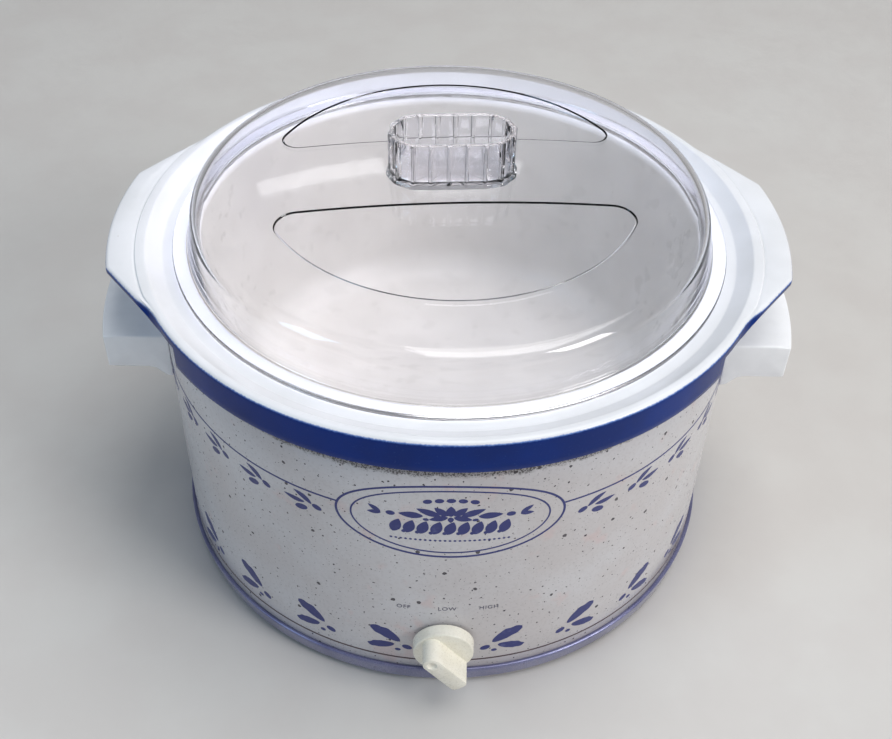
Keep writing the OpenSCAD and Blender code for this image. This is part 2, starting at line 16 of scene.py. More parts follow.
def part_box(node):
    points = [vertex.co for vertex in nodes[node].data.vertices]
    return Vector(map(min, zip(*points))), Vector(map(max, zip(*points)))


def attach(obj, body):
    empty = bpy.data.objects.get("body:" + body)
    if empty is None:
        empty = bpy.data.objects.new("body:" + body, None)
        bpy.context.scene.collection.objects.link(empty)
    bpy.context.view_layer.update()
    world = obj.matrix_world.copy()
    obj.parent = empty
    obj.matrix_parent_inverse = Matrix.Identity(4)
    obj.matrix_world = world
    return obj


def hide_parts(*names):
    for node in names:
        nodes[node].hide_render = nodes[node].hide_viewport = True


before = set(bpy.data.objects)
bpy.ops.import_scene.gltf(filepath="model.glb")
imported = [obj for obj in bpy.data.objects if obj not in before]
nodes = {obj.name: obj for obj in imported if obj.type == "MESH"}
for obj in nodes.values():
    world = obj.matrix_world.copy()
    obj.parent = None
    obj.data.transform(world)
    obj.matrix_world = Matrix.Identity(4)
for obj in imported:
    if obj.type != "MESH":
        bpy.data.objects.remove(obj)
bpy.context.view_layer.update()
MM = 0.001


def high(node):
    """The highest corner of a node's box, in millimetres."""
    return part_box(node)[1] / MM


def low(node):
    """The lowest corner of a node's box, in millimetres."""
    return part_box(node)[0] / MM


# %% [markdown]
# ## The camera
# The pot is seen from above the front edge of the table. A camera matrix is the most exact way to say
# where a lens looks: its columns are the directions right, up and back. They come from five readable
# values: how far and how high the lens is, how steeply it looks down, a small roll, and how far round
# the pot it stands.

# %% Camera
lens_mm = 48.3
camera_away = 0.4622
camera_height = 0.5012
look_down = 0.7407
camera_roll = 0.0288
round_the_pot = math.radians(-1.0)

camera = bpy.data.objects.new("camera", bpy.data.cameras.new("camera"))
bpy.context.scene.collection.objects.link(camera)
bpy.context.scene.camera = camera
camera.data.lens = lens_mm
camera.data.sensor_width = 36
camera.data.clip_start = 0.01
heading = Matrix.Rotation(round_the_pot, 3, "Z")
forward = heading @ Vector((0, math.cos(look_down), -math.sin(look_down)))
right = heading @ Vector((1, 0, 0))
above = right.cross(forward)
rolled_right = right * math.cos(camera_roll) + above * math.sin(camera_roll)
rolled_up = above * math.cos(camera_roll) - right * math.sin(camera_roll)
turn = Matrix((rolled_right, rolled_up, -forward)).transposed().to_4x4()
place = heading @ Vector((0, -camera_away, 0)) + Vector((0, 0, camera_height))
camera.matrix_world = Matrix.Translation(place) @ turn
print("camera at", [round(v, 3) for v in place])

# %% [markdown]
# ## Floor and light
# A pale floor that turns up into a backdrop has no horizon line, so nothing competes with the pot.
# Glaze, plastic and clear lids are told apart by what they mirror, so the lamps are long soft boxes:
# one wide one overhead for the even light, a key from the front right and a cool window on the left.
# Two short strips behind draw the streaks on the dome.

# %% Floor that curves up behind
floor_half = 2.4
curve_start = 1.3
curve_r = 0.9
backdrop_top = 2.2


def make_floor():
    """One sheet, flat under the pot and rising in a quarter circle far behind it."""
    line = [(-floor_half, 0.0), (0.0, 0.0), (curve_start, 0.0)]
    steps = 16
    for i in range(1, steps + 1):
        a = math.pi / 2 * i / steps
        line.append((curve_start + curve_r * math.sin(a), curve_r * (1 - math.cos(a))))
    line.append((curve_start + curve_r, backdrop_top))
    verts = [(x, y, z) for y, z in line for x in (-floor_half, floor_half)]
    faces = [(2 * i, 2 * i + 1, 2 * i + 3, 2 * i + 2) for i in range(len(line) - 1)]
    mesh = bpy.data.meshes.new("floor")
    mesh.from_pydata(verts, [], faces)
    mesh.shade_smooth()
    floor = bpy.data.objects.new("floor", mesh)
    bpy.context.scene.collection.objects.link(floor)
    return floor


floor = make_floor()
print("floor sheet of", len(floor.data.polygons), "faces")


# %% Soft lamps
def softbox(name, place, size, watts, colour=(1, 1, 1), aim=(0, 0, 0.12)):
    """A rectangular lamp that looks at the pot."""
    light = bpy.data.lights.new(name, "AREA")
    light.shape = "RECTANGLE"
    light.size, light.size_y = size
    light.energy = watts
    light.color = colour
    lamp = bpy.data.objects.new(name, light)
    bpy.context.scene.collection.objects.link(lamp)
    lamp.location = place
    lamp.rotation_mode = "QUATERNION"
    lamp.rotation_quaternion = (Vector(aim) - Vector(place)).to_track_quat("-Z", "Y")


softbox("ceiling_light", (0.4, 0.0, 1.9), (1.6, 1.2), 21.5, (1.0, 0.985, 0.96))
softbox("key_right", (1.5, -1.0, 1.25), (0.8, 0.7), 19.5, (1.0, 0.985, 0.97), (0, -0.1, 0.1))
softbox("window_left", (-1.3, -0.7, 1.1), (0.5, 0.9), 4.5, (0.50, 0.76, 1.0), (-0.12, 0, 0.12))
softbox("strip_back_left", (-0.40, 1.6, 1.22), (0.42, 0.09), 0.18)
softbox("strip_back_right", (0.14, 1.6, 1.18), (0.22, 0.09), 0.09)
world = bpy.data.worlds.new("room")
bpy.context.scene.world = world
world.use_nodes = True
world.node_tree.nodes["Background"].inputs["Color"].default_value = (0.86, 0.90, 0.98, 1)
world.node_tree.nodes["Background"].inputs["Strength"].default_value = 0.26
bpy.context.scene.view_settings.view_transform = "Standard"

# %% [markdown]
# ## Shader helpers
# Every finish is built from the same few nodes: noise to vary colour and gloss, spots for speckle, a
# ramp to choose between colours and a bump. Short helpers keep each finish down to the lines that
# say what makes it look as it does.


# %% Node helpers
finishes = {}


def new_finish(name):
    """Makes a new material, keeps it under its name, and gives its node tree and its shader."""
    finish = bpy.data.materials.new(name)
    finish.use_nodes = True
    finishes[name] = finish
    tree = finish.node_tree
    return tree, tree.nodes["Principled BSDF"]


def rgb(red, green, blue):
    """A colour given as the eye names it, 0 to 255, in the linear values that shaders use."""
    def linear(v):
        v = v / 255
        return v / 12.92 if v <= 0.04045 else ((v + 0.055) / 1.055) ** 2.4
    return (linear(red), linear(green), linear(blue), 1.0)


def feed(tree, socket, value):
    """Links an output to a socket, or sets the socket to a plain value."""
    if isinstance(value, bpy.types.NodeSocket):
        tree.links.new(value, socket)
    else:
        socket.default_value = value


def coordinates(tree):
    """The place on the piece, in metres, which moves with the piece."""
    return tree.nodes.new("ShaderNodeTexCoord").outputs["Object"]


def noise(tree, size, detail=3.0, where=None, stretch=None):
    """Cloudy noise whose patches are about this many metres across."""
    n = tree.nodes.new("ShaderNodeTexNoise")
    n.inputs["Scale"].default_value = 1 / size
    n.inputs["Detail"].default_value = detail
    where = where or coordinates(tree)
    if stretch:
        m = tree.nodes.new("ShaderNodeMapping")
        m.inputs["Scale"].default_value = stretch
        tree.links.new(where, m.inputs["Vector"])
        where = m.outputs["Vector"]
    tree.links.new(where, n.inputs["Vector"])
    return n.outputs["Fac"]


def sums(tree, operation, a, b=0.0, c=0.0):
    """One Math node."""
    n = tree.nodes.new("ShaderNodeMath")
    n.operation = operation
    feed(tree, n.inputs[0], a)
    feed(tree, n.inputs[1], b)
    feed(tree, n.inputs[2], c)
    return n.outputs[0]


def span(tree, value, start, end, low_out=0.0, high_out=1.0):
    """Stretches value from the span start..end to low_out..high_out, with soft ends."""
    n = tree.nodes.new("ShaderNodeMapRange")
    n.interpolation_type = "SMOOTHSTEP"
    feed(tree, n.inputs["Value"], value)
    n.inputs["From Min"].default_value = start
    n.inputs["From Max"].default_value = end
    n.inputs["To Min"].default_value = low_out
    n.inputs["To Max"].default_value = high_out
    return n.outputs["Result"]


def blend_colours(tree, amount, first, second):
    """From the first colour to the second as amount goes from 0 to 1."""
    n = tree.nodes.new("ShaderNodeMix")
    n.data_type = "RGBA"
    feed(tree, n.inputs["Factor"], amount)
    feed(tree, n.inputs["A"], first)
    feed(tree, n.inputs["B"], second)
    return n.outputs["Result"]


def coat(tree, shader, colour, gloss):
    """Gives the shader its colour and its roughness."""
    feed(tree, shader.inputs["Base Color"], colour)
    feed(tree, shader.inputs["Roughness"], gloss)


def bumps(tree, shader, height, depth, strength=1.0):
    """Raises the surface by up to depth metres where height is 1."""
    n = tree.nodes.new("ShaderNodeBump")
    n.inputs["Distance"].default_value = depth
    n.inputs["Strength"].default_value = strength
    tree.links.new(height, n.inputs["Height"])
    tree.links.new(n.outputs["Normal"], shader.inputs["Normal"])


def spots(tree, cell, radius, share, where, flat=False):
    """1 inside round specks, one at most in each cell, in this share of the cells."""
    v = tree.nodes.new("ShaderNodeTexVoronoi")
    if flat:
        v.voronoi_dimensions = "2D"
    v.inputs["Scale"].default_value = 1 / cell
    tree.links.new(where, v.inputs["Vector"])
    parts = tree.nodes.new("ShaderNodeSeparateColor")
    tree.links.new(v.outputs["Color"], parts.inputs["Color"])
    size = span(tree, parts.outputs[1], 0.0, 1.0, 0.4 * radius / cell, radius / cell)
    near = sums(tree, "LESS_THAN", v.outputs["Distance"], size)
    chosen = sums(tree, "LESS_THAN", parts.outputs[0], share)
    return sums(tree, "MULTIPLY", near, chosen)


def unrolled(tree, radius):
    """Coordinates on a tube round the upright axis, as if it were rolled out flat: round it, then up."""
    split = tree.nodes.new("ShaderNodeSeparateXYZ")
    tree.links.new(coordinates(tree), split.inputs["Vector"])
    angle = sums(tree, "ARCTAN2", split.outputs["X"], sums(tree, "MULTIPLY", split.outputs["Y"], -1.0))
    flat = tree.nodes.new("ShaderNodeCombineXYZ")
    tree.links.new(sums(tree, "MULTIPLY", angle, radius), flat.inputs["X"])
    tree.links.new(split.outputs["Z"], flat.inputs["Y"])
    return flat.outputs["Vector"]


def stirred(tree, amount, size, where=None):
    """Coordinates pushed about by noise, so that specks aren't round."""
    n = tree.nodes.new("ShaderNodeTexNoise")
    n.inputs["Scale"].default_value = 1 / size
    tree.links.new(coordinates(tree), n.inputs["Vector"])
    push = tree.nodes.new("ShaderNodeVectorMath")
    push.operation = "MULTIPLY_ADD"
    tree.links.new(n.outputs["Color"], push.inputs[0])
    push.inputs[1].default_value = (amount, amount, amount)
    tree.links.new(where or coordinates(tree), push.inputs[2])
    return push.outputs[0]


print("node helpers ready")

# %% [markdown]
# ## Simple finishes
# Moulded plastic, rubber, bare steel and lead insulation differ in colour, gloss and how their
# surface is marked. One function makes them all: cloudy colour, uneven gloss and a fine bump.


# %% Plastics, metals and rubber
def plain_finish(name, colour, shade, roughness, grain=0.004, depth=0.00002, metallic=0.0, stretch=None):
    """A finish whose colour wanders a little between colour and shade, over a fine grain."""
    tree, shader = new_finish(name)
    cloud = noise(tree, grain * 6, 4.0, stretch=stretch)
    tint = blend_colours(tree, span(tree, cloud, 0.35, 0.65), colour, shade)
    fine = noise(tree, grain, 6.0, stretch=stretch)
    coat(tree, shader, tint, span(tree, fine, 0.3, 0.7, roughness * 0.8, min(1.0, roughness * 1.25)))
    shader.inputs["Metallic"].default_value = metallic
    bumps(tree, shader, fine, depth)


plain_finish("white_plastic", rgb(244, 246, 249), rgb(241, 243, 246), 0.18, 0.0012)
plain_finish("ivory_plastic", rgb(243, 240, 227), rgb(238, 234, 219), 0.30, 0.0010)
plain_finish("foot_rubber", rgb(62, 62, 66), rgb(48, 48, 52), 0.75, 0.0010, 0.00005)
plain_finish("black_plastic", rgb(40, 40, 42), rgb(28, 28, 30), 0.42, 0.0010)
plain_finish("plain_steel", rgb(190, 190, 194), rgb(165, 166, 172), 0.32, 0.0020, metallic=1.0)
plain_finish("brass", rgb(214, 178, 96), rgb(186, 148, 72), 0.30, 0.0020, metallic=1.0)
plain_finish("block_ceramic", rgb(226, 221, 208), rgb(212, 205, 190), 0.55)
plain_finish("heater_wrap", rgb(206, 188, 146), rgb(186, 164, 118), 0.80, 0.0015, 0.0002, stretch=(1, 1, 4))
plain_finish("well_metal", rgb(196, 197, 200), rgb(172, 172, 174), 0.36, 0.0030,
             metallic=1.0, stretch=(1, 1, 6))
plain_finish("lead_brown", rgb(120, 66, 44), rgb(100, 52, 34), 0.5)
plain_finish("lead_blue", rgb(62, 88, 158), rgb(48, 70, 134), 0.5)
plain_finish("lead_white", rgb(222, 222, 212), rgb(206, 204, 190), 0.5)
plain_finish("lead_red", rgb(176, 52, 46), rgb(150, 40, 36), 0.5)
plain_finish("floor_paper", rgb(208, 206, 203), rgb(205, 202, 199), 0.6, 0.01)
floor.data.materials.append(finishes["floor_paper"])
print("plain finishes:", sorted(finishes))

# %% [markdown]
# ## The glaze
# Stoneware is dipped in one glossy white glaze, the inside is a warmer cream, and the outside of the
# rim has a sprayed blue band that fades softly into the white. The mesh carries three masks, one
# value at each point: band, inside and bare clay. The shader only has to mix by them.


# %% Glaze
def mask(tree, name):
    """A value that the mesh carries at each of its points."""
    n = tree.nodes.new("ShaderNodeAttribute")
    n.attribute_name = name
    return n.outputs["Fac"]


def stoneware_finish():
    """White glaze with a cream inside, a sprayed blue band and bare clay underneath."""
    tree, shader = new_finish("stoneware")
    cloud = noise(tree, 0.03, 4.0)
    white = blend_colours(tree, span(tree, cloud, 0.3, 0.7), rgb(233, 235, 240), rgb(225, 227, 231))
    cream = blend_colours(tree, span(tree, cloud, 0.3, 0.7), rgb(212, 209, 204), rgb(204, 201, 196))
    body = blend_colours(tree, mask(tree, "inside"), white, cream)
    pins = spots(tree, 0.011, 0.0005, 0.35, stirred(tree, 0.001, 0.002))
    body = blend_colours(tree, sums(tree, "MULTIPLY", pins, 0.55), body, rgb(150, 132, 112))
    spray = noise(tree, 0.0011, 2.0)
    ragged = sums(tree, "MULTIPLY_ADD", sums(tree, "SUBTRACT", spray, 0.5), 0.5, mask(tree, "band"))
    blue = blend_colours(tree, span(tree, cloud, 0.35, 0.65), rgb(8, 46, 124), rgb(14, 42, 110))
    pale_edge = span(tree, ragged, 0.12, 0.55)
    full = span(tree, ragged, 0.45, 0.95)
    body = blend_colours(tree, pale_edge, body, rgb(96, 130, 196))
    body = blend_colours(tree, full, body, blue)
    clay = blend_colours(tree, noise(tree, 0.0015, 4.0), rgb(214, 203, 182), rgb(188, 174, 150))
    body = blend_colours(tree, mask(tree, "bare"), body, clay)
    smudge = noise(tree, 0.012, 4.0)
    gloss = span(tree, smudge, 0.35, 0.7, 0.07, 0.16)
    rough = sums(tree, "MULTIPLY_ADD", mask(tree, "bare"), 0.7, gloss)
    rough = sums(tree, "MULTIPLY_ADD", mask(tree, "inside"), 0.2, rough)
    coat(tree, shader, body, rough)
    shine = sums(tree, "MULTIPLY_ADD", mask(tree, "band"), -0.22, 0.34)
    tree.links.new(shine, shader.inputs["Specular IOR Level"])
    bumps(tree, shader, noise(tree, 0.018, 2.0), 0.0004, 0.35)


stoneware_finish()
print("glaze ready")

# %% [markdown]
# ## Clear plastic
# The lid is clear, with a trace of violet, fine rubbing marks and a little haze. Light has to reach
# the food side as well, and a path tracer finds that path only rarely through glass. So the shader
# answers shadow rays as if it were plainly transparent, and refracts for every other ray.


# %% Lid plastic
def clear_finish(name, colour, roughness, haze):
    """Clear plastic with fine marks. Shadow rays pass straight through with a slight tint."""
    tree, shader = new_finish(name)
    shader.inputs["Transmission Weight"].default_value = 1.0
    shader.inputs["IOR"].default_value = 1.47
    marks = noise(tree, 0.006, 6.0, stretch=(1, 2.5, 1))
    coat(tree, shader, colour, span(tree, marks, 0.35, 0.75, roughness, roughness + haze))
    bumps(tree, shader, noise(tree, 0.03, 2.0), 0.0002, 0.25)
    through = tree.nodes.new("ShaderNodeBsdfTransparent")
    through.inputs["Color"].default_value = (0.90, 0.90, 0.94, 1)
    path = tree.nodes.new("ShaderNodeLightPath")
    both = tree.nodes.new("ShaderNodeMixShader")
    tree.links.new(path.outputs["Is Shadow Ray"], both.inputs["Fac"])
    tree.links.new(shader.outputs["BSDF"], both.inputs[1])
    tree.links.new(through.outputs["BSDF"], both.inputs[2])
    tree.links.new(both.outputs["Shader"], tree.nodes["Material Output"].inputs["Surface"])


clear_finish("clear_plastic", (0.955, 0.955, 0.985, 1), 0.02, 0.06)
clear_finish("clear_cup", (0.955, 0.955, 0.99, 1), 0.03, 0.06)
print("clear plastic ready")

# %% [markdown]
# ## Printed steel and enamelled ring
# The shell is sheet steel with a baked greige coat, sprayed with dark specks: a few large ones, many
# small ones and pin-head dust. Just under the crock's rim the dust is so dense that it makes a dark
# border with a ragged edge. Warm and rosy clouds run under the specks. The ring below is a metallic
# blue-violet, so its shader is part metal with a clear coat.


# %% Printed shell coat
shell_r = high("outer_shell").x
border_from, border_full = 0.1440, 0.1465


def shell_finish():
    """Greige coat with three sizes of speck, soft clouds and a dense dotted border at the top."""
    tree, shader = new_finish("printed_steel")
    cloud = noise(tree, 0.05, 5.0)
    patch = noise(tree, 0.016, 3.0)
    body = blend_colours(tree, span(tree, cloud, 0.35, 0.65), rgb(208, 207, 210), rgb(201, 197, 198))
    body = blend_colours(tree, span(tree, patch, 0.60, 0.74, 0.0, 0.5), body, rgb(212, 188, 187))
    mist = noise(tree, 0.0016, 3.0)
    body = blend_colours(tree, span(tree, mist, 0.45, 0.75, 0.0, 0.22), body, rgb(170, 164, 165))
    tube = unrolled(tree, shell_r * MM)
    where = stirred(tree, 0.0012, 0.0014, tube)
    large = spots(tree, 0.0125, 0.00105, 0.34, where, True)
    small = spots(tree, 0.0056, 0.00048, 0.50, where, True)
    dust = spots(tree, 0.0022, 0.00024, 0.38, where, True)
    specks = sums(tree, "MAXIMUM", large, sums(tree, "MAXIMUM", small, sums(tree, "MULTIPLY", dust, 0.65)))
    height = tree.nodes.new("ShaderNodeSeparateXYZ")
    tree.links.new(coordinates(tree), height.inputs["Vector"])
    ragged = sums(tree, "MULTIPLY_ADD", noise(tree, 0.004, 2.0), 0.004, height.outputs["Z"])
    dense = span(tree, ragged, border_from + 0.002, border_full + 0.002)
    dots = spots(tree, 0.0009, 0.00050, 0.97, tube, True)
    border = sums(tree, "MULTIPLY", dense, sums(tree, "MAXIMUM", dots, sums(tree, "MULTIPLY", dense, 0.5)))
    body = blend_colours(tree, sums(tree, "MULTIPLY", specks, 0.9), body, rgb(46, 42, 52))
    body = blend_colours(tree, sums(tree, "MULTIPLY", border, 0.9), body, rgb(50, 46, 48))
    coat(tree, shader, body, span(tree, patch, 0.3, 0.7, 0.13, 0.22))
    bumps(tree, shader, noise(tree, 0.009, 3.0), 0.00005, 0.5)


shell_finish()
print("shell coat ready")


# %% Ring enamel and printing ink
def ring_finish():
    """Metallic blue-violet enamel under a clear coat."""
    tree, shader = new_finish("blue_enamel")
    flake = noise(tree, 0.0006, 2.0)
    cloud = noise(tree, 0.03, 3.0)
    body = blend_colours(tree, span(tree, flake, 0.3, 0.7), rgb(114, 116, 156), rgb(138, 140, 176))
    body = blend_colours(tree, span(tree, cloud, 0.4, 0.7, 0.0, 0.5), body, rgb(62, 64, 112))
    coat(tree, shader, body, span(tree, cloud, 0.3, 0.7, 0.26, 0.36))
    shader.inputs["Metallic"].default_value = 0.55
    shader.inputs["Coat Weight"].default_value = 0.8
    bumps(tree, shader, flake, 0.00002)


def ink_finish(name, colour, worn):
    """Screen-printed ink that has a few thin places."""
    tree, shader = new_finish(name)
    thin = noise(tree, 0.0035, 5.0)
    tint = blend_colours(tree, span(tree, thin, 0.55, 0.78), colour, worn)
    coat(tree, shader, tint, span(tree, thin, 0.3, 0.7, 0.30, 0.42))


ring_finish()
ink_finish("ink_blue", rgb(42, 50, 116), rgb(72, 78, 134))
ink_finish("ink_brown", rgb(72, 55, 60), rgb(104, 86, 88))
ink_finish("ink_dark", rgb(54, 54, 84), rgb(84, 84, 108))
print("all finishes:", len(finishes))

# %% [markdown]
# ## Mesh helpers
# Most of this pot was thrown, spun or drawn, so most shapes are an outline turned about the upright
# axis. Outlines are lists of (radius, height) in millimetres, with arcs where the real part is round.


# %% Outline and turning helpers
def arc(cx, cy, r, start, end, steps):
    """Points on a circle, from the angle start to the angle end, in degrees."""
    angles = [math.radians(start + (end - start) * i / steps) for i in range(steps + 1)]
    return [(cx + r * math.cos(a), cy + r * math.sin(a)) for a in angles]


def circle(r, steps):
    """Points all the way round a circle."""
    return arc(0, 0, r, 0, 360 - 360 / steps, steps - 1)


def at_angle(r, deg, z):
    """The point at a distance from the axis, an angle round it and a height."""
    return (r * math.cos(math.radians(deg)), r * math.sin(math.radians(deg)), z)


def smooth_step(t):
    """0 below 0, 1 above 1, and a soft curve between."""
    t = min(1.0, max(0.0, t))
    return t * t * (3 - 2 * t)


def mesh_object(name, verts, faces):
    """A new mesh from millimetres, with its faces turned outwards and soft shading up to 35 degrees."""
    mesh = bpy.data.meshes.new(name)
    mesh.from_pydata([Vector(v) * MM for v in verts], [], faces)
    obj = bpy.data.objects.new(name, mesh)
    bpy.context.scene.collection.objects.link(obj)
    return tidy_surface(obj)


def tidy_surface(obj, sharp_deg=35):
    """Merges doubled points, turns the faces outwards and shades softly across gentle edges."""
    bm = bmesh.new()
    bm.from_mesh(obj.data)
    bmesh.ops.remove_doubles(bm, verts=bm.verts, dist=1e-7)
    bmesh.ops.recalc_face_normals(bm, faces=bm.faces)
    bm.to_mesh(obj.data)
    bm.free()
    obj.data.shade_smooth()
    obj.data.set_sharp_from_angle(angle=math.radians(sharp_deg))
    return obj


def bridge(rings, closed=False):
    """Quads between rings of point numbers. A ring of one repeated number is a pole."""
    faces = []
    last = len(rings) if closed else len(rings) - 1
    for i in range(last):
        a, b = rings[i], rings[(i + 1) % len(rings)]
        for k in range(len(a)):
            n = (k + 1) % len(a)
            face = list(dict.fromkeys((a[k], a[n], b[n], b[k])))
            if len(face) > 2:
                faces.append(face)
    return faces


def add_ring(verts, rings, points):
    """Adds points to a mesh that is being built, and their numbers as one more ring."""
    rings.append(list(range(len(verts), len(verts) + len(points))))
    verts.extend(points)


def add_turned(verts, rings, outline, steps):
    """Adds an outline of (radius, height), turned about the axis, to a mesh that is being built."""
    for r, z in outline:
        if r < 1e-6:
            rings.append([len(verts)] * steps)
            verts.append((0, 0, z))
        else:
            add_ring(verts, rings, [(x, y, z) for x, y in circle(r, steps)])


def add_block(verts, faces, lower, upper):
    """Adds a closed block between two loops of points to a mesh that is being built."""
    rings = []
    add_ring(verts, rings, lower)
    add_ring(verts, rings, upper)
    faces.extend(bridge(rings) + [rings[0][::-1], rings[1]])


def turned(name, outline, steps=256):
    """A closed outline of (radius, height) turned about the axis into a closed mesh."""
    verts, rings = [], []
    add_turned(verts, rings, outline, steps)
    return mesh_object(name, verts, bridge(rings, closed=True))


def lofted(name, sections):
    """Sections with equally many points, joined in turn and closed at both ends."""
    verts, rings = [], []
    for section in sections:
        add_ring(verts, rings, section)
    return mesh_object(name, verts, bridge(rings) + [rings[0][::-1], rings[-1]])


def apply_modifiers(obj):
    """Makes the result of the modifiers the mesh itself."""
    graph = bpy.context.evaluated_depsgraph_get()
    result = bpy.data.meshes.new_from_object(obj.evaluated_get(graph))
    obj.modifiers.clear()
    obj.data = result
    return obj


def carve(obj, tool, operation="DIFFERENCE"):
    """Cuts the tool out of a mesh, or joins it on, and removes the tool."""
    step = obj.modifiers.new("carve", "BOOLEAN")
    step.operation = operation
    step.solver = "EXACT"
    step.object = tool
    apply_modifiers(obj)
    bpy.data.objects.remove(tool)
    return tidy_surface(obj)


def dress(obj, body, finish, slot, *stands_for):
    """Gives a piece its finish, sets it on its body and hides the frame's nodes that it stands for."""
    obj.data.materials.clear()
    obj.data.materials.append(finishes[finish])
    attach(obj, body)
    if stands_for:
        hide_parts(*stands_for)
    print(obj.name, len(obj.data.polygons), "faces")


print("mesh helpers ready")

# %% [markdown]
# ## The crock
# The real crock is one piece of stoneware with two flat ears pulled out of its rim. A turned body with
# ears stuck on would show a seam, so the whole surface is swept: at each angle round the pot there is
# one section, and only the points at the outer edge of the rim move out where an ear is. A fine groove
# still marks the circle of the rim across each ear. Under the ears the band is cut back.

# %% Sizes of the crock
rim_r, ear_r = high("crock").y, high("crock").x
rim_z, crock_z = high("crock").z, low("crock").z
rim_h = 16.8
band_z = rim_z - rim_h
floor_z = crock_z + 9
seat_z = rim_z - 4.3
seat_r = rim_r - 11
inner_r = rim_r - 26.2
outer_r = rim_r - 18.2
taper = 9
floor_round = 20
ear_corner = 5
ear_half = math.radians(13.5)
ear_root = ear_half + math.acos((rim_r - 1.5) / ear_r)
relief_deg = math.degrees(ear_root) - 3
ear_drop = 0.4
ear_t = 4.5
print("ear root at", round(math.degrees(ear_root), 1), "degrees")


# %% Outline of the rim seen from above
def off_ear(deg):
    """How many degrees an angle is from the middle of the nearest ear."""
    return abs((deg + 90) % 180 - 90)


def rim_reach(deg):
    """Radius of the crock's edge at this angle: the circle of the rim, or an ear beyond it."""
    a = math.radians(off_ear(deg))
    if a <= ear_half:
        return ear_r
    if a >= ear_root:
        return rim_r
    centre = ear_r - ear_corner
    edge = (centre * math.cos(ear_root - ear_half) + ear_corner) / math.cos(a - ear_root)
    across = centre * math.sin(a - ear_half)
    if across < ear_corner:
        r = centre * math.cos(a - ear_half) + math.sqrt(ear_corner ** 2 - across ** 2)
        x = r * math.cos(a) - centre * math.cos(ear_half)
        y = r * math.sin(a) - centre * math.sin(ear_half)
        if math.atan2(y, x) <= ear_root:
            return r
    return max(rim_r, edge)


def crock_section(deg):
    """The section of the stoneware at this angle, from the middle of the floor inside to underneath.
    Each point is (radius, height, band, inside, bare)."""
    reach = rim_reach(deg)
    out = smooth_step((reach - rim_r - 0.4) / 4)
    cut = 1 - smooth_step((off_ear(deg) - relief_deg) / 2.6 + 0.5)
    wall_foot = inner_r - taper + 1
    points = [(r, floor_z, 0, 1, 0) for r in (0, 30, 60)]
    points += [(r, z, 0, 1, 0)
               for r, z in arc(wall_foot - floor_round, floor_z + floor_round, floor_round, -90, -5, 12)]
    points += [(wall_foot + (inner_r - wall_foot) * t, floor_z + 20 + (seat_z - 24 - floor_z) * t, 0, 1, 0)
               for t in (0.25, 0.5, 0.75)]
    lip = arc(inner_r + 4, seat_z - 4, 4, 175, 90, 8)
    points += [(r, z, 0, 1 - smooth_step(i / 8), 0) for i, (r, z) in enumerate(lip)]
    points += [(seat_r - 3, seat_z, 0, 0, 0), (seat_r - 1, seat_z, 0, 0, 0)]
    points += [(r, z, 0, 0, 0) for r, z in arc(seat_r - 1, seat_z + 2.4, 2.4, -80, -50, 4)]
    points += [(r, z, 0, 0, 0) for r, z in arc(rim_r - 3.2, rim_z - 2.2, 2.2, 135, 90, 5)]
    plain_edge = arc(rim_r - 2.2, rim_z - 2.2, 2.2, 88, 0, 9)
    ear_top = rim_z - ear_drop
    ear_edge = [(rim_r - 1.4, rim_z), (rim_r + 0.2, rim_z - 0.1), (rim_r + 0.8, rim_z - 0.8),
                (rim_r + 1.4, ear_top - 0.15), (rim_r + 2.2, ear_top), (reach - 1.8, ear_top),
                (reach - 0.9, ear_top - 0.25), (reach - 0.27, ear_top - 0.9), (reach, ear_top - 1.8),
                (reach, ear_top - 2.2)]
    for (r0, z0), (r1, z1) in zip(plain_edge, ear_edge):
        r, z = r0 + (r1 - r0) * out, z0 + (z1 - z0) * out
        depth_down = rim_z - z - ear_drop * out
        near_edge = smooth_step((r - reach + 2.5) / 1.5)
        points.append((r, z, smooth_step((depth_down - 0.3) / 1.7) * near_edge, 0, 0))
    below = rim_z - ear_drop - ear_t
    face_r = rim_r + (shell_r + 1 - rim_r) * cut
    paint = 1 - cut
    points += [(reach, below + 1.2, 1, 0, 0), (reach - 0.35 * out, below + 0.4, 1, 0, 0),
               (reach - 1.2 * out, below - 0.1 * (1 - out), 1, 0, 0)]
    points += [(face_r + (reach - face_r) * 0.6, below - 0.6 * (1 - out), max(paint, 0.2), 0, 0),
               (face_r + 0.8 * cut, below - 1.2 * (1 - cut), paint, 0, 0),
               (face_r, below - 1.8, paint, 0, 0)]
    points += [(face_r, band_z + 4, paint, 0, 0), (face_r, band_z + 1.5, paint, 0, 0),
               (face_r - 0.44, band_z + 0.44, paint, 0, 0), (face_r - 1.5, band_z, 0.6 * paint, 0, 0)]
    points += [(outer_r + 2, band_z, 0, 0, 0.4), (outer_r + 0.6, band_z - 0.6, 0, 0, 0.4),
               (outer_r, band_z - 2, 0, 0, 0.2)]
    foot = outer_r - taper - 8
    points += [(foot + 8 + taper * t, crock_z + 8 + (band_z - crock_z - 10) * t, 0, 0, 0)
               for t in (0.75, 0.5, 0.25, 0.06)]
    points += [(r, z, 0, 0, 0) for r, z in arc(foot, crock_z + 8, 8, -10, -55, 4)]
    points += [(r, z, 0, 0, 1) for r, z in arc(foot, crock_z + 8, 8, -68, -90, 2)]
    points += [(60, crock_z, 0, 0, 1), (0, crock_z, 0, 0, 1)]
    return points


print("points in one section:", len(crock_section(0)))


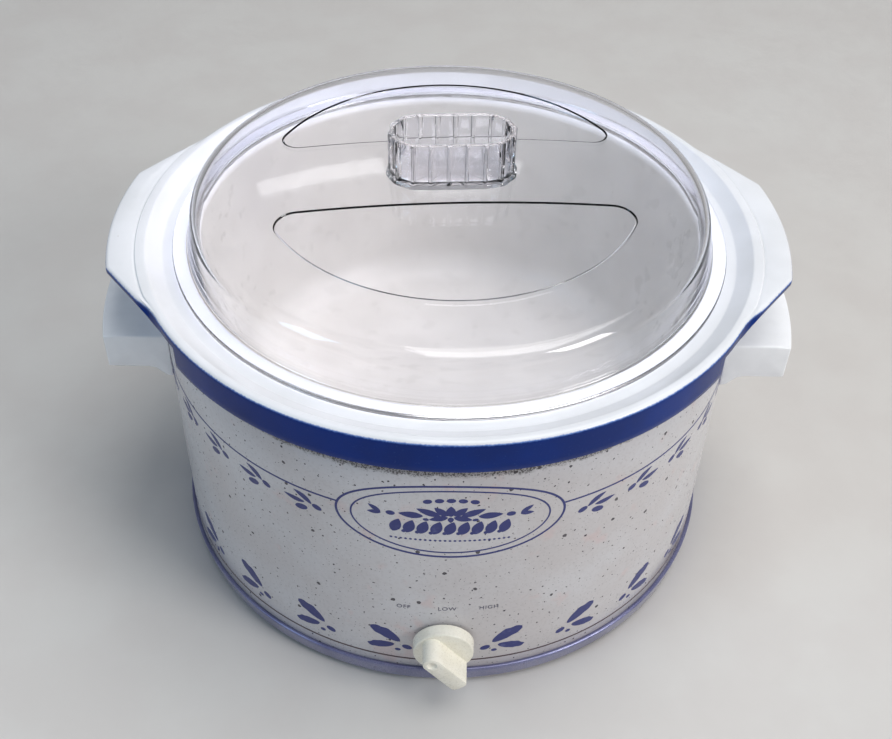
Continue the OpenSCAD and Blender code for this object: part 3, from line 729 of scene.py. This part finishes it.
# %% Sweep the section round the pot
def crock_angles():
    """Even steps round the pot, with more of them at the corners and the roots of the ears."""
    fine = [11 + 0.4 * i for i in range(16)] + [34 + 0.2 * i for i in range(28)]
    angles = {round(1.25 * i, 3) for i in range(288)}
    for middle in (0, 180):
        for a in fine:
            angles.update({round((middle + a) % 360, 3), round((middle - a) % 360, 3)})
    kept = []
    for a in sorted(angles):
        if not kept or a - kept[-1] > 0.15:
            kept.append(a)
    return kept


def make_crock():
    """The whole crock as one closed surface that carries its three masks."""
    angles = crock_angles()
    sections = [crock_section(a) for a in angles]
    verts, masks, rings = [], [], []
    for same_points in zip(*sections):
        r, z, *values = same_points[0]
        if r < 1e-6:
            rings.append([len(verts)] * len(angles))
            verts.append((0, 0, z))
            masks.append(values)
        else:
            add_ring(verts, rings, [at_angle(p[0], a, p[1]) for a, p in zip(angles, same_points)])
            masks += [p[2:] for p in same_points]
    obj = mesh_object("stoneware_crock", verts, bridge(rings))
    for k, name in enumerate(("band", "inside", "bare")):
        layer = obj.data.attributes.new(name, "FLOAT", "POINT")
        layer.data.foreach_set("value", [m[k] for m in masks])
    return obj


dress(make_crock(), "crock", "stoneware", "stoneware", "crock")

# %% [markdown]
# ## The lid
# The dome is an injection moulding with two sunk D-shaped panels edged by a fine groove. Grooves cut
# with a boolean leave ragged shading on clear plastic, where every wobble shows. So the top of the
# dome is meshed round the grooves: points follow both D outlines, and a constrained triangulation
# fills in between. The rest of the lid is turned and joined at the same ring of points.

# %% Sizes of the lid
lid_r = high("lid_dome").x
lid_z = low("lid_dome").z
dome_z = high("lid_dome").z
lid_t = 2.6
wall_r = lid_r - 7
dome_r = wall_r - 10
dome_fall = 8.3
shoulder_r = 8
shoulder_x = wall_r - 2.5 - shoulder_r
shoulder_z = dome_z - dome_fall - shoulder_r
meet_deg = 81.6
meet_r = shoulder_x + shoulder_r * math.cos(math.radians(meet_deg))
lid_turn = math.radians(4)
panel_r = 87
panel_corner = 9
panel_chords = {-1: 24.7, 1: 28.0}
panel_step = -0.35
groove_depth = 0.65
groove_half = 0.55
print("dome meets its shoulder at radius", round(meet_r, 2))


# %% D-shaped panels
def dome_at(r):
    """Height of the outside of the dome at a distance from the axis."""
    return dome_z - dome_fall * (r / dome_r) ** 2


def panel_shape(side):
    """The straight edge of the D on this side of the cup, and the middle of its rounded corner."""
    chord = panel_chords[side]
    corner_y = chord + panel_corner
    return chord, math.sqrt((panel_r - panel_corner) ** 2 - corner_y ** 2), corner_y


def panel_distance(x, y, side):
    """How far a point is outside the D on this side of the cup. Inside the D it is negative."""
    y = y * side
    chord, corner_x, corner_y = panel_shape(side)
    if abs(x) > corner_x and y < corner_y * abs(x) / corner_x:
        return math.hypot(abs(x) - corner_x, y - corner_y) - panel_corner
    return max(math.hypot(x, y) - panel_r, chord - y)


def panel_outline(side, grow, pitch=1.3):
    """Points along the D, moved out by grow."""
    chord, corner_x, corner_y = panel_shape(side)
    lean = math.degrees(math.atan2(corner_y, corner_x))
    round_r = panel_corner + grow
    points = [(-corner_x + 2 * corner_x * t / 100, chord - grow) for t in range(100)]
    points += arc(corner_x, corner_y, round_r, -90, lean, 12)[:-1]
    steps = int(math.radians(180 - 2 * lean) * panel_r / pitch)
    points += arc(0, 0, panel_r + grow, lean, 180 - lean, steps)[:-1]
    points += arc(-corner_x, corner_y, round_r, 180 - lean, 270, 12)[:-1]
    return [(x, y * side) for x, y in points]


def on_lid(verts):
    """Points turned round the axis to the way that the lid was put on."""
    cos, sin = math.cos(lid_turn), math.sin(lid_turn)
    return [(x * cos - y * sin, x * sin + y * cos, z) for x, y, z in verts]


def dome_top(steps):
    """Points and triangles of the top of the dome, with a fine groove along both D outlines."""
    flat, edges = [], []
    for side in panel_chords:
        for grow in (-groove_half, -groove_half / 2, 0, groove_half / 2, groove_half):
            loop = panel_outline(side, grow)
            start = len(flat)
            flat += loop
            edges += [(start + i, start + (i + 1) % len(loop)) for i in range(len(loop))]
    start = len(flat)
    flat += circle(meet_r, steps)
    edges += [(start + i, start + (i + 1) % steps) for i in range(steps)]
    r = meet_r - 2.2
    while r > 2:
        count = max(6, int(2 * math.pi * r / 2.6))
        for x, y in circle(r, count):
            if all(abs(panel_distance(x, y, side)) > 1.4 for side in panel_chords):
                flat.append((x, y))
        r -= 2.4
    flat.append((0, 0))
    filled = delaunay_2d_cdt([Vector(p) for p in flat], edges, [], 0, 1e-5)
    verts = []
    for x, y in filled[0]:
        z = dome_at(math.hypot(x, y))
        for side in panel_chords:
            out = panel_distance(x, y, side)
            z += panel_step * (1 - smooth_step(out / (2 * groove_half) + 0.5))
            z -= groove_depth * max(0.0, 1 - abs(out) / groove_half)
        verts.append((x, y, z))
    return verts, [list(f) for f in filled[2]]


print("panel outline:", len(panel_outline(1, 0)), "points")


# %% Clear dome
def make_dome(steps=288):
    """The lid without its finger cup, as one closed surface."""
    top, top_faces = dome_top(steps)
    outside = arc(shoulder_x, shoulder_z, shoulder_r, meet_deg, 8, 10)
    foot_fillet = arc(wall_r + 1.6, lid_z + lid_t + 1.8, 1.8, 190, 270, 5)
    rim = arc(lid_r - 0.9, lid_z + lid_t - 0.9, 0.9, 90, 0, 4) + arc(lid_r - 0.9, lid_z + 0.9, 0.9, 0, -90, 4)
    inside_wall = [(wall_r - lid_t + 0.8, lid_z), (wall_r - lid_t - 0.1, lid_z + 0.8)]
    inside = arc(shoulder_x, shoulder_z, shoulder_r - lid_t, 8, meet_deg, 8)
    under = [(r, dome_at(r) - lid_t) for r in (105, 90, 75, 60, 45, 30, 15, 0)]
    outline = outside + foot_fillet + rim + inside_wall + inside + under
    verts, rings = list(top), []
    add_turned(verts, rings, outline, steps)
    obj = mesh_object("clear_dome", on_lid(verts), top_faces + bridge(rings))
    bm = bmesh.new()
    bm.from_mesh(obj.data)
    bmesh.ops.remove_doubles(bm, verts=bm.verts, dist=0.02 * MM)
    bmesh.ops.recalc_face_normals(bm, faces=bm.faces)
    open_edges = sum(1 for e in bm.edges if not e.is_manifold)
    bm.to_mesh(obj.data)
    bm.free()
    print("dome edges that aren't shared by two faces:", open_edges)
    return obj


dress(make_dome(), "lid", "clear_plastic", "clear_plastic", "lid_dome")

# %% [markdown]
# ## The finger cup
# The handle is an open cup with flat facets between narrow upright ribs, all round a long oval. Its
# outline is walked along the oval: at each rib four points stand out a little, and between two ribs
# the wall runs straight, which also gives the ends their cut-corner look. The outline is then
# repeated at each height, with its own offset, and the rings are joined.

# %% Sizes of the finger cup
cup_low, cup_high = low("lid_handle"), high("lid_handle")
cup_foot = cup_low.z
cup_top = cup_high.z
cup_len, cup_w = 57.0, 28.0
cup_wall = 2.2
rib_count = 18
rib_out = 0.5
rib_half = 0.9
print("cup from", round(cup_foot, 1), "to", round(cup_top, 1))


# %% Walk round the oval
def oval_point(s):
    """Point and outward direction on the cup's oval, at the share s of the way round."""
    r = cup_w / 2
    straight = cup_len - cup_w
    around = 2 * straight + 2 * math.pi * r
    d = (s % 1.0) * around
    if d < straight:
        return Vector((-straight / 2 + d, -r)), Vector((0, -1))
    d -= straight
    if d < math.pi * r:
        a = d / r - math.pi / 2
        out = Vector((math.cos(a), math.sin(a)))
        return Vector((straight / 2, 0)) + out * r, out
    d -= math.pi * r
    if d < straight:
        return Vector((straight / 2 - d, r)), Vector((0, 1))
    a = (d - straight) / r + math.pi / 2
    out = Vector((math.cos(a), math.sin(a)))
    return Vector((-straight / 2, 0)) + out * r, out


def cup_outline(grow, rib):
    """The faceted oval moved out by grow, with ribs that stand out by rib."""
    around = 2 * (cup_len - cup_w) + math.pi * cup_w
    corners = []
    for k in range(rib_count):
        middle = (k + 0.5) / rib_count
        for along, out in ((-rib_half, 0), (-0.6 * rib_half, rib), (0.6 * rib_half, rib), (rib_half, 0)):
            p, normal = oval_point(middle + along / around)
            corners.append(p + normal * (grow + out))
    points = []
    for i, p in enumerate(corners):
        points.append(p)
        if i % 4 == 3:
            following = corners[(i + 1) % len(corners)]
            points += [p.lerp(following, 1 / 3), p.lerp(following, 2 / 3)]
    return points


def make_cup():
    """Foot fillet, ribbed wall, rounded rim, inner wall and floor, joined as one closed surface."""
    floor_at = cup_foot + 1.4
    levels = [(cup_foot, 1.5, 0), (cup_foot + 0.5, 1.4, 0), (cup_foot + 1.1, 0.8, 0.1),
              (cup_foot + 1.8, 0.25, 0.3), (cup_foot + 3.0, 0.0, rib_out), (cup_foot + 12, 0.0, rib_out),
              (cup_top - 0.9, 0.0, rib_out), (cup_top - 0.25, -0.2, rib_out * 0.7), (cup_top, -0.8, 0.1),
              (cup_top, 0.8 - cup_wall, 0), (cup_top - 0.3, 0.15 - cup_wall, -0.15),
              (cup_top - 0.9, -cup_wall, -0.35), (floor_at + 3, -cup_wall - 0.1, -0.35),
              (floor_at + 0.8, -cup_wall - 0.4, -0.2), (floor_at, -cup_wall - 1.6, 0)]
    verts, rings = [], []
    for z, grow, rib in levels:
        add_ring(verts, rings, [(p.x, p.y, z) for p in cup_outline(grow, rib)])
    count = len(rings[0])
    rings = [[len(verts)] * count] + rings + [[len(verts) + 1] * count]
    verts += [(0, 0, cup_foot), (0, 0, floor_at)]
    return mesh_object("finger_cup", on_lid(verts), bridge(rings))


dress(make_cup(), "lid", "clear_cup", "clear_plastic", "lid_handle")

# %% [markdown]
# ## Shell and base ring
# The shell is sheet steel rolled into a tube, with hemmed edges and an overlapped joint at the back.
# It is turned from the section of the sheet, and its holes are then cut for the switch, the cord and
# the handle screws. The overlap is a strip of the same sheet bent to the same curve.

# %% Turned shell with its holes
shell_low, shell_top = low("outer_shell").z, high("outer_shell").z
sheet_t = 0.8
bush_hole_r = 4.9
inlet_hole_r = 5.7
screw_hole_r = 2.6
switch_z = (low("knob").z + high("knob").z) / 2
inlet_z = (low("cord_gland").z + high("cord_gland").z) / 2
screw_z = (low("handle_screws").z + high("handle_screws").z) / 2
screw_y = 22.0


def rods(name, places):
    """Round bars (start, direction, radius, length) in one mesh, for cutting holes."""
    verts, faces = [], []
    for start, direction, radius, length in places:
        lean = Vector(direction).to_track_quat("Z", "Y")
        near, far = ([Vector(start) + lean @ Vector((x, y, h)) for x, y in circle(radius, 48)]
                     for h in (0, length))
        add_block(verts, faces, near, far)
    return mesh_object(name, verts, faces)


def make_shell():
    """The rolled shell, with a hem at both edges and its six holes."""
    inner = shell_r - sheet_t
    outline = [(shell_r, shell_low + 0.4), (shell_r, shell_low + 30), (shell_r, shell_low + 60),
               (shell_r, shell_low + 90), (shell_r, shell_low + 120), (shell_r, shell_top - 0.4),
               (shell_r - 0.25, shell_top), (inner + 0.25, shell_top), (inner, shell_top - 0.4),
               (inner, shell_low + 0.4), (inner + 0.25, shell_low), (shell_r - 0.25, shell_low)]
    shell = turned("printed_shell", outline, 360)
    holes = [((0, -shell_r + 6, switch_z), (0, -1, 0), bush_hole_r, 12),
             ((0, shell_r - 6, inlet_z), (0, 1, 0), inlet_hole_r, 12)]
    for side in (-1, 1):
        for y in (-screw_y, screw_y):
            holes.append((((shell_r - 12) * side, y, screw_z), (side, 0, 0), screw_hole_r, 20))
    return carve(shell, rods("hole_bars", holes))


dress(make_shell(), "base", "printed_steel", "printed_steel", "outer_shell")


# %% Overlap of the shell at the back
def bent_plate(name, middle_deg, half_mm, z0, z1, r0, r1, bevel=0.3):
    """A plate bent to the shell's curve, with softened edges, at an angle measured from +X."""
    half = math.degrees(half_mm / r1)
    steps = max(2, int(half * 2))
    columns = [middle_deg - half + 2 * half * i / steps for i in range(steps + 1)]
    section = [(r0, z0), (r1 - bevel, z0), (r1, z0 + bevel), (r1, z1 - bevel), (r1 - bevel, z1), (r0, z1)]
    thinner = 1 - bevel / (r1 - r0)
    end_section = [(r0 + (r - r0) * thinner, z) for r, z in section]
    sections = []
    for i, deg in enumerate(columns):
        here = end_section if i in (0, steps) else section
        sections.append([at_angle(r, deg, z) for r, z in here])
    return lofted(name, sections)


seam_deg, seam_half = 102, 5.5
seam = bent_plate("shell_overlap", seam_deg, seam_half, shell_low + 9, shell_top - 5,
                  shell_r - 0.05, shell_r + 0.75)
dress(seam, "base", "printed_steel", "printed_steel")


# %% Sizes of the base ring
pan_r = high("base_pan").x
pan_z = low("base_pan").z
ring_top = high("base_pan").z
pan_t = 1.2
recess_h = 6.5
stud_hole_r = 2.8
foot_hole_r = 3.05
feet_circle_r = 112
slot_count = 12
slot_from, slot_to = 64, 78
print("base ring from", round(pan_z, 1), "to", round(ring_top, 1))


# %% Base ring
def make_base_ring():
    """The enamelled pan: a rounded ring outside, a flat floor with slots and a recess for the nut."""
    inside_r = shell_r + 0.05
    recess_z = pan_z + recess_h
    outline = [(0, recess_z), (15.5, recess_z), (16.4, pan_z + 6.2), (17.6, pan_z + 0.4), (18.6, pan_z)]
    outline += [(60, pan_z), (100, pan_z), (pan_r - 3, pan_z), (pan_r - 1.9, pan_z + 0.25)]
    outline += [(pan_r - 1.3, pan_z + 0.9), (pan_r - 1.05, pan_z + 1.8), (pan_r - 0.35, ring_top - 2.6)]
    outline += arc(pan_r - 0.9, ring_top - 0.9, 0.9, 10, 100, 6)
    floor_top = pan_z + pan_t
    outline += [(inside_r, ring_top - 0.3), (inside_r, floor_top), (19.5, floor_top), (18.2, floor_top + 0.4)]
    outline += [(17.2, recess_z + pan_t - 0.3), (16, recess_z + pan_t), (0, recess_z + pan_t)]
    pan = turned("base_ring", outline, 320)
    bars = [((0, 0, pan_z + 5), (0, 0, 1), stud_hole_r, 4)]
    for deg in (45, 135, 225, 315):
        bars.append((at_angle(feet_circle_r, deg, pan_z - 1), (0, 0, 1), foot_hole_r, 4))
    carve(pan, rods("pan_bars", bars))
    verts, faces = [], []
    slot = arc(slot_from, 0, 2, 90, 270, 8) + arc(slot_to, 0, 2, -90, 90, 8)
    for i in range(slot_count):
        spin = Matrix.Rotation(math.radians(360 / slot_count * (i + 0.5)), 3, "Z")
        lower, upper = ([spin @ Vector((x, y, z)) for x, y in slot] for z in (pan_z - 1, pan_z + 3))
        add_block(verts, faces, lower, upper)
    return carve(pan, mesh_object("slot_bars", verts, faces))


dress(make_base_ring(), "base", "blue_enamel", "blue_enamel", "base_pan")

# %% [markdown]
# ## Side grips
# Each grip is a moulded tray, open underneath for the fingers, that hugs the shell. It is lofted:
# sections cut across it, from one end wall to the other, are joined. The bottom edge flares down to a
# foot against the shell. A bevel rounds the crisp edges, and catches the bright line along the crease.

# %% Sizes of a grip
grip_r = high("right_handle").x
grip_top = high("right_handle").z
grip_foot = low("right_handle").z
grip_flare = 6
grip_low = grip_foot + grip_flare
grip_half = high("right_handle").y
grip_wall = 3.2
print("grip from", round(grip_foot, 1), "to", round(grip_top, 1))


# %% Loft one grip
def grip_bottom(x, back):
    """Height of the lower edge at x, where back is the surface of the shell."""
    return grip_low - grip_flare * (1 - smooth_step((x - back - 1.5) / 8.5))


def grip_section(y, hollow):
    """Section of the grip at y, as (x, z) points. In a solid end the hollow is closed."""
    back = math.sqrt((shell_r + 0.06) ** 2 - y * y)
    front = math.sqrt(grip_r ** 2 - y * y)
    top = [(back, grip_top), (back + 7, grip_top), (back + 14, grip_top), (front - 7, grip_top),
           (front, grip_top - 0.5)]
    face = [(front, grip_top - 7), (front, grip_low + 5)]
    xs = [front, front - grip_wall, front - grip_wall - 3]
    xs += [back + 11, back + 8, back + 6, back + grip_wall, back]
    edge = [(x, grip_bottom(x, back)) for x in xs]
    if hollow:
        ceiling = grip_top - grip_wall
        edge[2:6] = [(front - grip_wall, ceiling - 2), (front - grip_wall - 2, ceiling),
                     (back + grip_wall + 2, ceiling), (back + grip_wall, ceiling - 2)]
    return top + face + edge + [(back, grip_low), (back, grip_top - 8)]


def make_grip(name, side):
    """One grip, lofted from end to end, with softly bevelled edges."""
    inner_half = grip_half - grip_wall
    stations = [(-grip_half, False), (-inner_half, False), (-inner_half, True)]
    stations += [(-inner_half + 2 * inner_half * i / 14, True) for i in range(1, 14)]
    stations += [(inner_half, True), (inner_half, False), (grip_half, False)]
    sections = []
    for y, hollow in stations:
        sections.append([(side * x, side * y, z) for x, z in grip_section(y, hollow)])
    grip = lofted(name, sections)
    soft = grip.modifiers.new("soft_edges", "BEVEL")
    soft.width = 0.9 * MM
    soft.segments = 3
    soft.limit_method = "ANGLE"
    soft.angle_limit = math.radians(40)
    soft.use_clamp_overlap = True
    return tidy_surface(apply_modifiers(grip), 30)


dress(make_grip("grip_right", 1), "base", "white_plastic", "white_plastic", "right_handle")
dress(make_grip("grip_left", -1), "base", "white_plastic", "white_plastic", "left_handle")

# %% [markdown]
# ## The knob
# A thick round skirt carries a grip bar with a round nose, a dimple that marks the nose, and a tail
# cut along the edge of the skirt. The skirt is turned, the bar is lofted from its outline with a
# rounded upper edge, and the two are joined with a boolean before the dimple is pressed in.

# %% Sizes of the knob
knob_r = high("knob").x
knob_back = -high("knob").y
knob_end = -low("knob").y
skirt_h = 6.0
hub_r, hub_back = 6, 3.0
hollow_r, roof_at = knob_r - 2, skirt_h - 1.2
bar_w = 9.0
tail_corner = 2.4
dimple_depth, dimple_half = 1.3, 2.4
off_deg = 38
nose_y = knob_r - bar_w / 2 - 1.4
print("knob stands", round(knob_end - knob_back, 1), "mm off the shell")


# %% Bar outline and loft
def bar_outline():
    """The bar seen from the front: a round nose at the top and a tail cut along the skirt."""
    reach = knob_r - 0.25
    half = bar_w / 2
    corner_x = half - tail_corner
    corner_y = math.sqrt((reach - tail_corner) ** 2 - corner_x ** 2)
    lean = math.degrees(math.atan2(corner_y, corner_x))
    tail = arc(corner_x, -corner_y, tail_corner, 0, -lean, 6)[:-1] + arc(0, 0, reach, -lean, lean - 180, 10)
    tail += arc(-corner_x, -corner_y, tail_corner, lean - 180, -180, 6)[1:]
    nose = arc(0, nose_y, half, 180, 0, 20)
    return tail + [(-half, -4.0), (-half, 2.0)] + nose + [(half, 2.0), (half, -4.0)]


def inset_outline(points, by):
    """A rounded outline moved inwards, each point along its own normal."""
    moved = []
    for i, p in enumerate(points):
        before, after = Vector(points[i - 1]), Vector(points[(i + 1) % len(points)])
        along = (after - before).normalized()
        moved.append(Vector(p) + Vector((along.y, -along.x)) * by)
    return moved


def make_knob():
    """Hollow skirt, bar and dimple, made upright and then laid along the switch shaft. The skirt
    is open at the back, with a hub in its middle, so that it passes over the switch's nut."""
    bar_h = knob_end - knob_back - skirt_h
    skirt_outline = [(0, hub_back), (hub_r, hub_back), (hub_r, roof_at), (hollow_r, roof_at), (hollow_r, 0)]
    skirt_outline += [(knob_r - 0.4, 0), (knob_r, 0.4)]
    skirt_outline += arc(knob_r - 0.25 - 0.8, skirt_h - 0.8, 0.8, 0, 90, 5) + [(0, skirt_h)]
    knob = turned("knob_ivory", skirt_outline, 128)
    bar_top = skirt_h + bar_h
    levels = [(skirt_h - 1, 0), (skirt_h + 0.5, 0), (skirt_h + bar_h * 0.6, 0.12), (bar_top - 0.7, 0.25),
              (bar_top - 0.2, 0.36), (bar_top, 0.75)]
    outline = bar_outline()
    bar = lofted("bar", [[(p.x, p.y, z) for p in inset_outline(outline, by)] for z, by in levels])
    carve(knob, bar, "UNION")
    ball_r = (dimple_half ** 2 + dimple_depth ** 2) / (2 * dimple_depth)
    ball_z = bar_top - dimple_depth + ball_r
    ball = arc(0, ball_z, ball_r, -90, 90, 24)
    tool = turned("dimple", ball, 64)
    tool.location = Vector((0, nose_y, 0)) * MM
    bpy.context.view_layer.update()
    carve(knob, tool)
    spin = Matrix.Rotation(math.radians(off_deg), 4, "Z")
    lay = Matrix.Rotation(math.radians(90), 4, "X")
    knob.data.transform(Matrix.Translation(Vector((0, -knob_back, switch_z)) * MM) @ lay @ spin)
    return tidy_surface(knob, 30)


dress(make_knob(), "switch", "ivory_plastic", "ivory_plastic", "knob")

# %% [markdown]
# ## Printed decoration
# The ornament is screen-printed ink: a garland line, sprigs of leaves, and a double oval at the front
# with a bouquet in it. Each mark is drawn flat, as if the shell were unrolled: x runs round it and z
# up, in millimetres. The marks are cut into narrow strips, given the thickness of a coat of ink, and
# bent round the shell, so they follow its curve and stay crisp at any distance. The whole print sits
# a little to the right of the knob, as printing on a rolled sheet often does.

# %% From a flat drawing to ink on the shell
ink_out, ink_in = 0.07, -0.05
strip_w = 3.0
print_shift = 1.4


def flat_mark(points):
    """One closed outline as a flat mesh, cut into strips that are narrow enough to bend."""
    bm = bmesh.new()
    bm.faces.new([bm.verts.new((x, z, 0)) for x, z in points])
    bmesh.ops.triangulate(bm, faces=bm.faces)
    xs = [x for x, _ in points]
    cut = math.ceil(min(xs) / strip_w) * strip_w
    while cut < max(xs):
        bmesh.ops.bisect_plane(bm, geom=bm.verts[:] + bm.edges[:] + bm.faces[:], dist=1e-4,
                               plane_co=(cut, 0, 0), plane_no=(1, 0, 0))
        cut += strip_w
    return bm


def printed(name, flats, finish):
    """Thickens flat meshes into coats of ink and bends them round the shell."""
    verts, faces = [], []
    for bm in flats:
        bm.verts.index_update()
        count, first = len(bm.verts), len(verts)
        for lift in (ink_out, ink_in):
            for v in bm.verts:
                a, r = (v.co.x + print_shift) / shell_r, shell_r + lift
                verts.append((r * math.sin(a), -r * math.cos(a), v.co.y))
        for f in bm.faces:
            loop = [first + v.index for v in f.verts]
            faces.append(loop)
            faces.append([i + count for i in reversed(loop)])
        for e in bm.edges:
            if e.is_boundary:
                a, b = (first + v.index for v in e.verts)
                faces.append([a, b, b + count, a + count])
        bm.free()
    dress(mesh_object(name, verts, faces), "base", finish, "printed_steel")


def placed(flat, x, z, deg):
    """A mark drawn about 0, 0, turned by an angle and moved to its place."""
    c, s = math.cos(math.radians(deg)), math.sin(math.radians(deg))
    return [(x + u * c - v * s, z + u * s + v * c) for u, v in flat]


def oval(x, z, deg, length, width, steps=18):
    """A filled oval."""
    flat = [(length / 2 * math.cos(t), width / 2 * math.sin(t))
            for t in (2 * math.pi * i / steps for i in range(steps))]
    return placed(flat, x, z, deg)


def leaf(x, z, deg, length, width, bend=0.0, torn=0.0, full=0.85, steps=20):
    """A leaf that starts at a point and grows along an angle. torn roughens its far half, and a higher
    full moves its widest part further out."""
    upper, lower = [], []
    for i in range(steps + 1):
        t = i / steps
        half = width / 2 * math.sin(math.pi * t ** full) ** (0.45 if torn else 0.8) if 0 < i < steps else 0.0
        rough = torn * (math.sin(7.3 * i + x) + math.sin(12.1 * i)) * max(0.0, t - 0.3)
        middle = bend * math.sin(math.pi * t) * length
        upper.append((t * length, middle + max(0.0, half + rough)))
        lower.append((t * length, middle - max(0.0, half - 0.6 * rough)))
    return placed(upper + lower[-2:0:-1], x, z, deg)


def mirrored(points):
    """The same mark on the other side of the front."""
    return [(-x, z) for x, z in points]


print("ink is", ink_out, "mm proud of the shell")

# %% Lines round the shell
oval_half_w, oval_half_h = 49.4, 22.4
inner_half_w, inner_half_h = 42.7, 19.5
oval_z = 117.3
garland_z = 121.0
foot_line_z = 17.5
line_w, oval_line_w, inner_line_w = 0.95, 1.1, 0.8
closed_gap = 0.02


def ring_line(name, z, width, gap_mm, finish):
    """A line round the shell, left open over gap_mm at the front."""
    around = 2 * math.pi * shell_r
    start, end = gap_mm / 2, around - gap_mm / 2
    steps = 280
    xs = [start + (end - start) * i / steps for i in range(steps + 1)]
    bm = bmesh.new()
    rows = [[bm.verts.new((x, z + side * width / 2, 0)) for x in xs] for side in (-1, 1)]
    for i in range(steps):
        bm.faces.new((rows[0][i], rows[0][i + 1], rows[1][i + 1], rows[1][i]))
    printed(name, [bm], finish)


def oval_line(half_w, half_h, width, steps=120):
    """The line of an oval, as short pieces that are each small enough to bend."""
    bm = bmesh.new()
    rows = []
    for grow in (-width / 2, width / 2):
        rows.append([bm.verts.new((v[0], v[1] + oval_z, 0)) for v in
                     oval(0, 0, 0, 2 * (half_w + grow), 2 * (half_h + grow), steps)])
    for i in range(steps):
        n = (i + 1) % steps
        bm.faces.new((rows[0][i], rows[0][n], rows[1][n], rows[1][i]))
    return bm


height_over = (garland_z - oval_z) / oval_half_h
garland_gap = 2 * oval_half_w * math.sqrt(1 - height_over ** 2)
ring_line("ink_garland_line", garland_z, line_w, garland_gap, "ink_blue")
ring_line("ink_foot_line", foot_line_z, line_w, closed_gap, "ink_brown")
ovals = [oval_line(oval_half_w, oval_half_h, oval_line_w)]
ovals.append(oval_line(inner_half_w, inner_half_h, inner_line_w))
printed("ink_oval", ovals, "ink_blue")

# %% Sprigs
small_first, small_step = 27.7, 11.0
large_first, large_step = 9.0, 15.7
last_sprig = 176


def small_sprig(deg):
    """Two slender leaves, an oval below them and a dot towards the front."""
    x = math.radians(deg) * shell_r
    return [leaf(x - 5.2, 113.2, 31, 10.2, 2.9, 0.06), leaf(x - 1.6, 112.8, 5, 10.4, 2.6, -0.04),
            oval(x + 0.2, 109.0, -14, 6.4, 3.4), oval(x - 7.6, 112.3, 20, 4.8, 3.0)]


def large_sprig(deg):
    """A broad torn leaf over a shorter one, with dots towards the front."""
    x = math.radians(deg) * shell_r
    return [leaf(x, 30.2, 33, 16.8, 6.4, 0.03, 0.75, 1.2),
            leaf(x + 2.8, 27.6, -12, 13.4, 4.8, -0.02, 0.6, 1.1),
            oval(x - 3.2, 26.4, 22, 5.0, 3.2), oval(x + 1.2, 23.7, 0, 2.8, 2.0)]


def all_round(sprig, first, step):
    """The sprig at each step round to the back, on both sides of the front."""
    marks = []
    deg = first
    while deg < last_sprig:
        marks += [flat_mark(p) for p in sprig(deg)]
        marks += [flat_mark(mirrored(p)) for p in sprig(deg)]
        deg += step
    return marks


printed("ink_sprigs_upper", all_round(small_sprig, small_first, small_step), "ink_blue")
printed("ink_sprigs_lower", all_round(large_sprig, large_first, large_step), "ink_blue")


# %% Bouquet in the oval
def bouquet():
    """Leaves fanned round a centre, a bold row of slanting leaves under it, and rows of beads."""
    marks = [leaf(0, 121.2, 90, 6.4, 4.2), leaf(0, 120.8, -90, 3.4, 2.6)]
    side = [leaf(1.4, 121.6, 42, 7.4, 3.5), leaf(4.4, 121.3, 22, 10.8, 3.6), leaf(11.6, 120.9, 3, 10.4, 3.8),
            leaf(1.2, 120.6, -12, 8.0, 3.3), oval(10.4, 118.9, 10, 2.6, 1.6), oval(25.4, 120.9, 0, 4.0, 2.7),
            leaf(29.6, 120.7, 34, 6.4, 2.3), leaf(29.4, 120.2, -4, 6.0, 2.3)]
    marks += side + [mirrored(p) for p in side]
    for k in range(-4, 5):
        marks.append(leaf(5.8 * k - 1.3, 109.6, 72, 8.6, 5.0))
    for k in range(-4, 4):
        marks.append(oval(5.8 * k + 3.4, 110.4, 0, 1.9, 1.9, 12))
    for k in range(-2, 3):
        marks.append(oval(4.9 * k, 131.1 - 0.25 * k * k, -6 * k, 3.9, 2.6))
    for k in range(-12, 13):
        marks.append(oval(2.1 * k, 105.6, 0, 1.25, 1.1, 10))
    return marks


printed("ink_bouquet", [flat_mark(p) for p in bouquet()], "ink_blue")

# %% Words of the dial
word_z = 56.6
word_size = 3.45


def dial_word(text, deg):
    """One plain word, as flat letters at an angle from the front."""
    curve = bpy.data.curves.new(text, "FONT")
    curve.body = text
    curve.size = word_size
    curve.space_character = 1.12
    curve.align_x = "CENTER"
    writer = bpy.data.objects.new(text, curve)
    bpy.context.scene.collection.objects.link(writer)
    graph = bpy.context.evaluated_depsgraph_get()
    letters = bpy.data.meshes.new_from_object(writer.evaluated_get(graph))
    bm = bmesh.new()
    bm.from_mesh(letters)
    bmesh.ops.remove_doubles(bm, verts=bm.verts, dist=1e-4)
    for v in bm.verts:
        v.co.x += math.radians(deg) * shell_r
        v.co.y += word_z
        v.co.z = 0
    bpy.data.objects.remove(writer)
    return bm


printed("dial_words", [dial_word("OFF", -8.35), dial_word("LOW", -0.1), dial_word("HIGH", 7.85)], "ink_dark")

# %% [markdown]
# ## Parts that keep the frame's own mesh
# Screws, feet, the heating well and everything inside the base are already the right shape. They only
# take the finish that their material slots in model.glb name.

# %% Finishes for the kept parts
replaced = {"crock", "lid_dome", "lid_handle", "outer_shell",
            "base_pan", "left_handle", "right_handle", "knob"}
kept = 0
for name, part in nodes.items():
    if name in replaced:
        continue
    for holder in part.material_slots:
        holder.material = finishes[holder.material.name.split(".")[0]]
    kept += 1
print("kept parts:", kept)
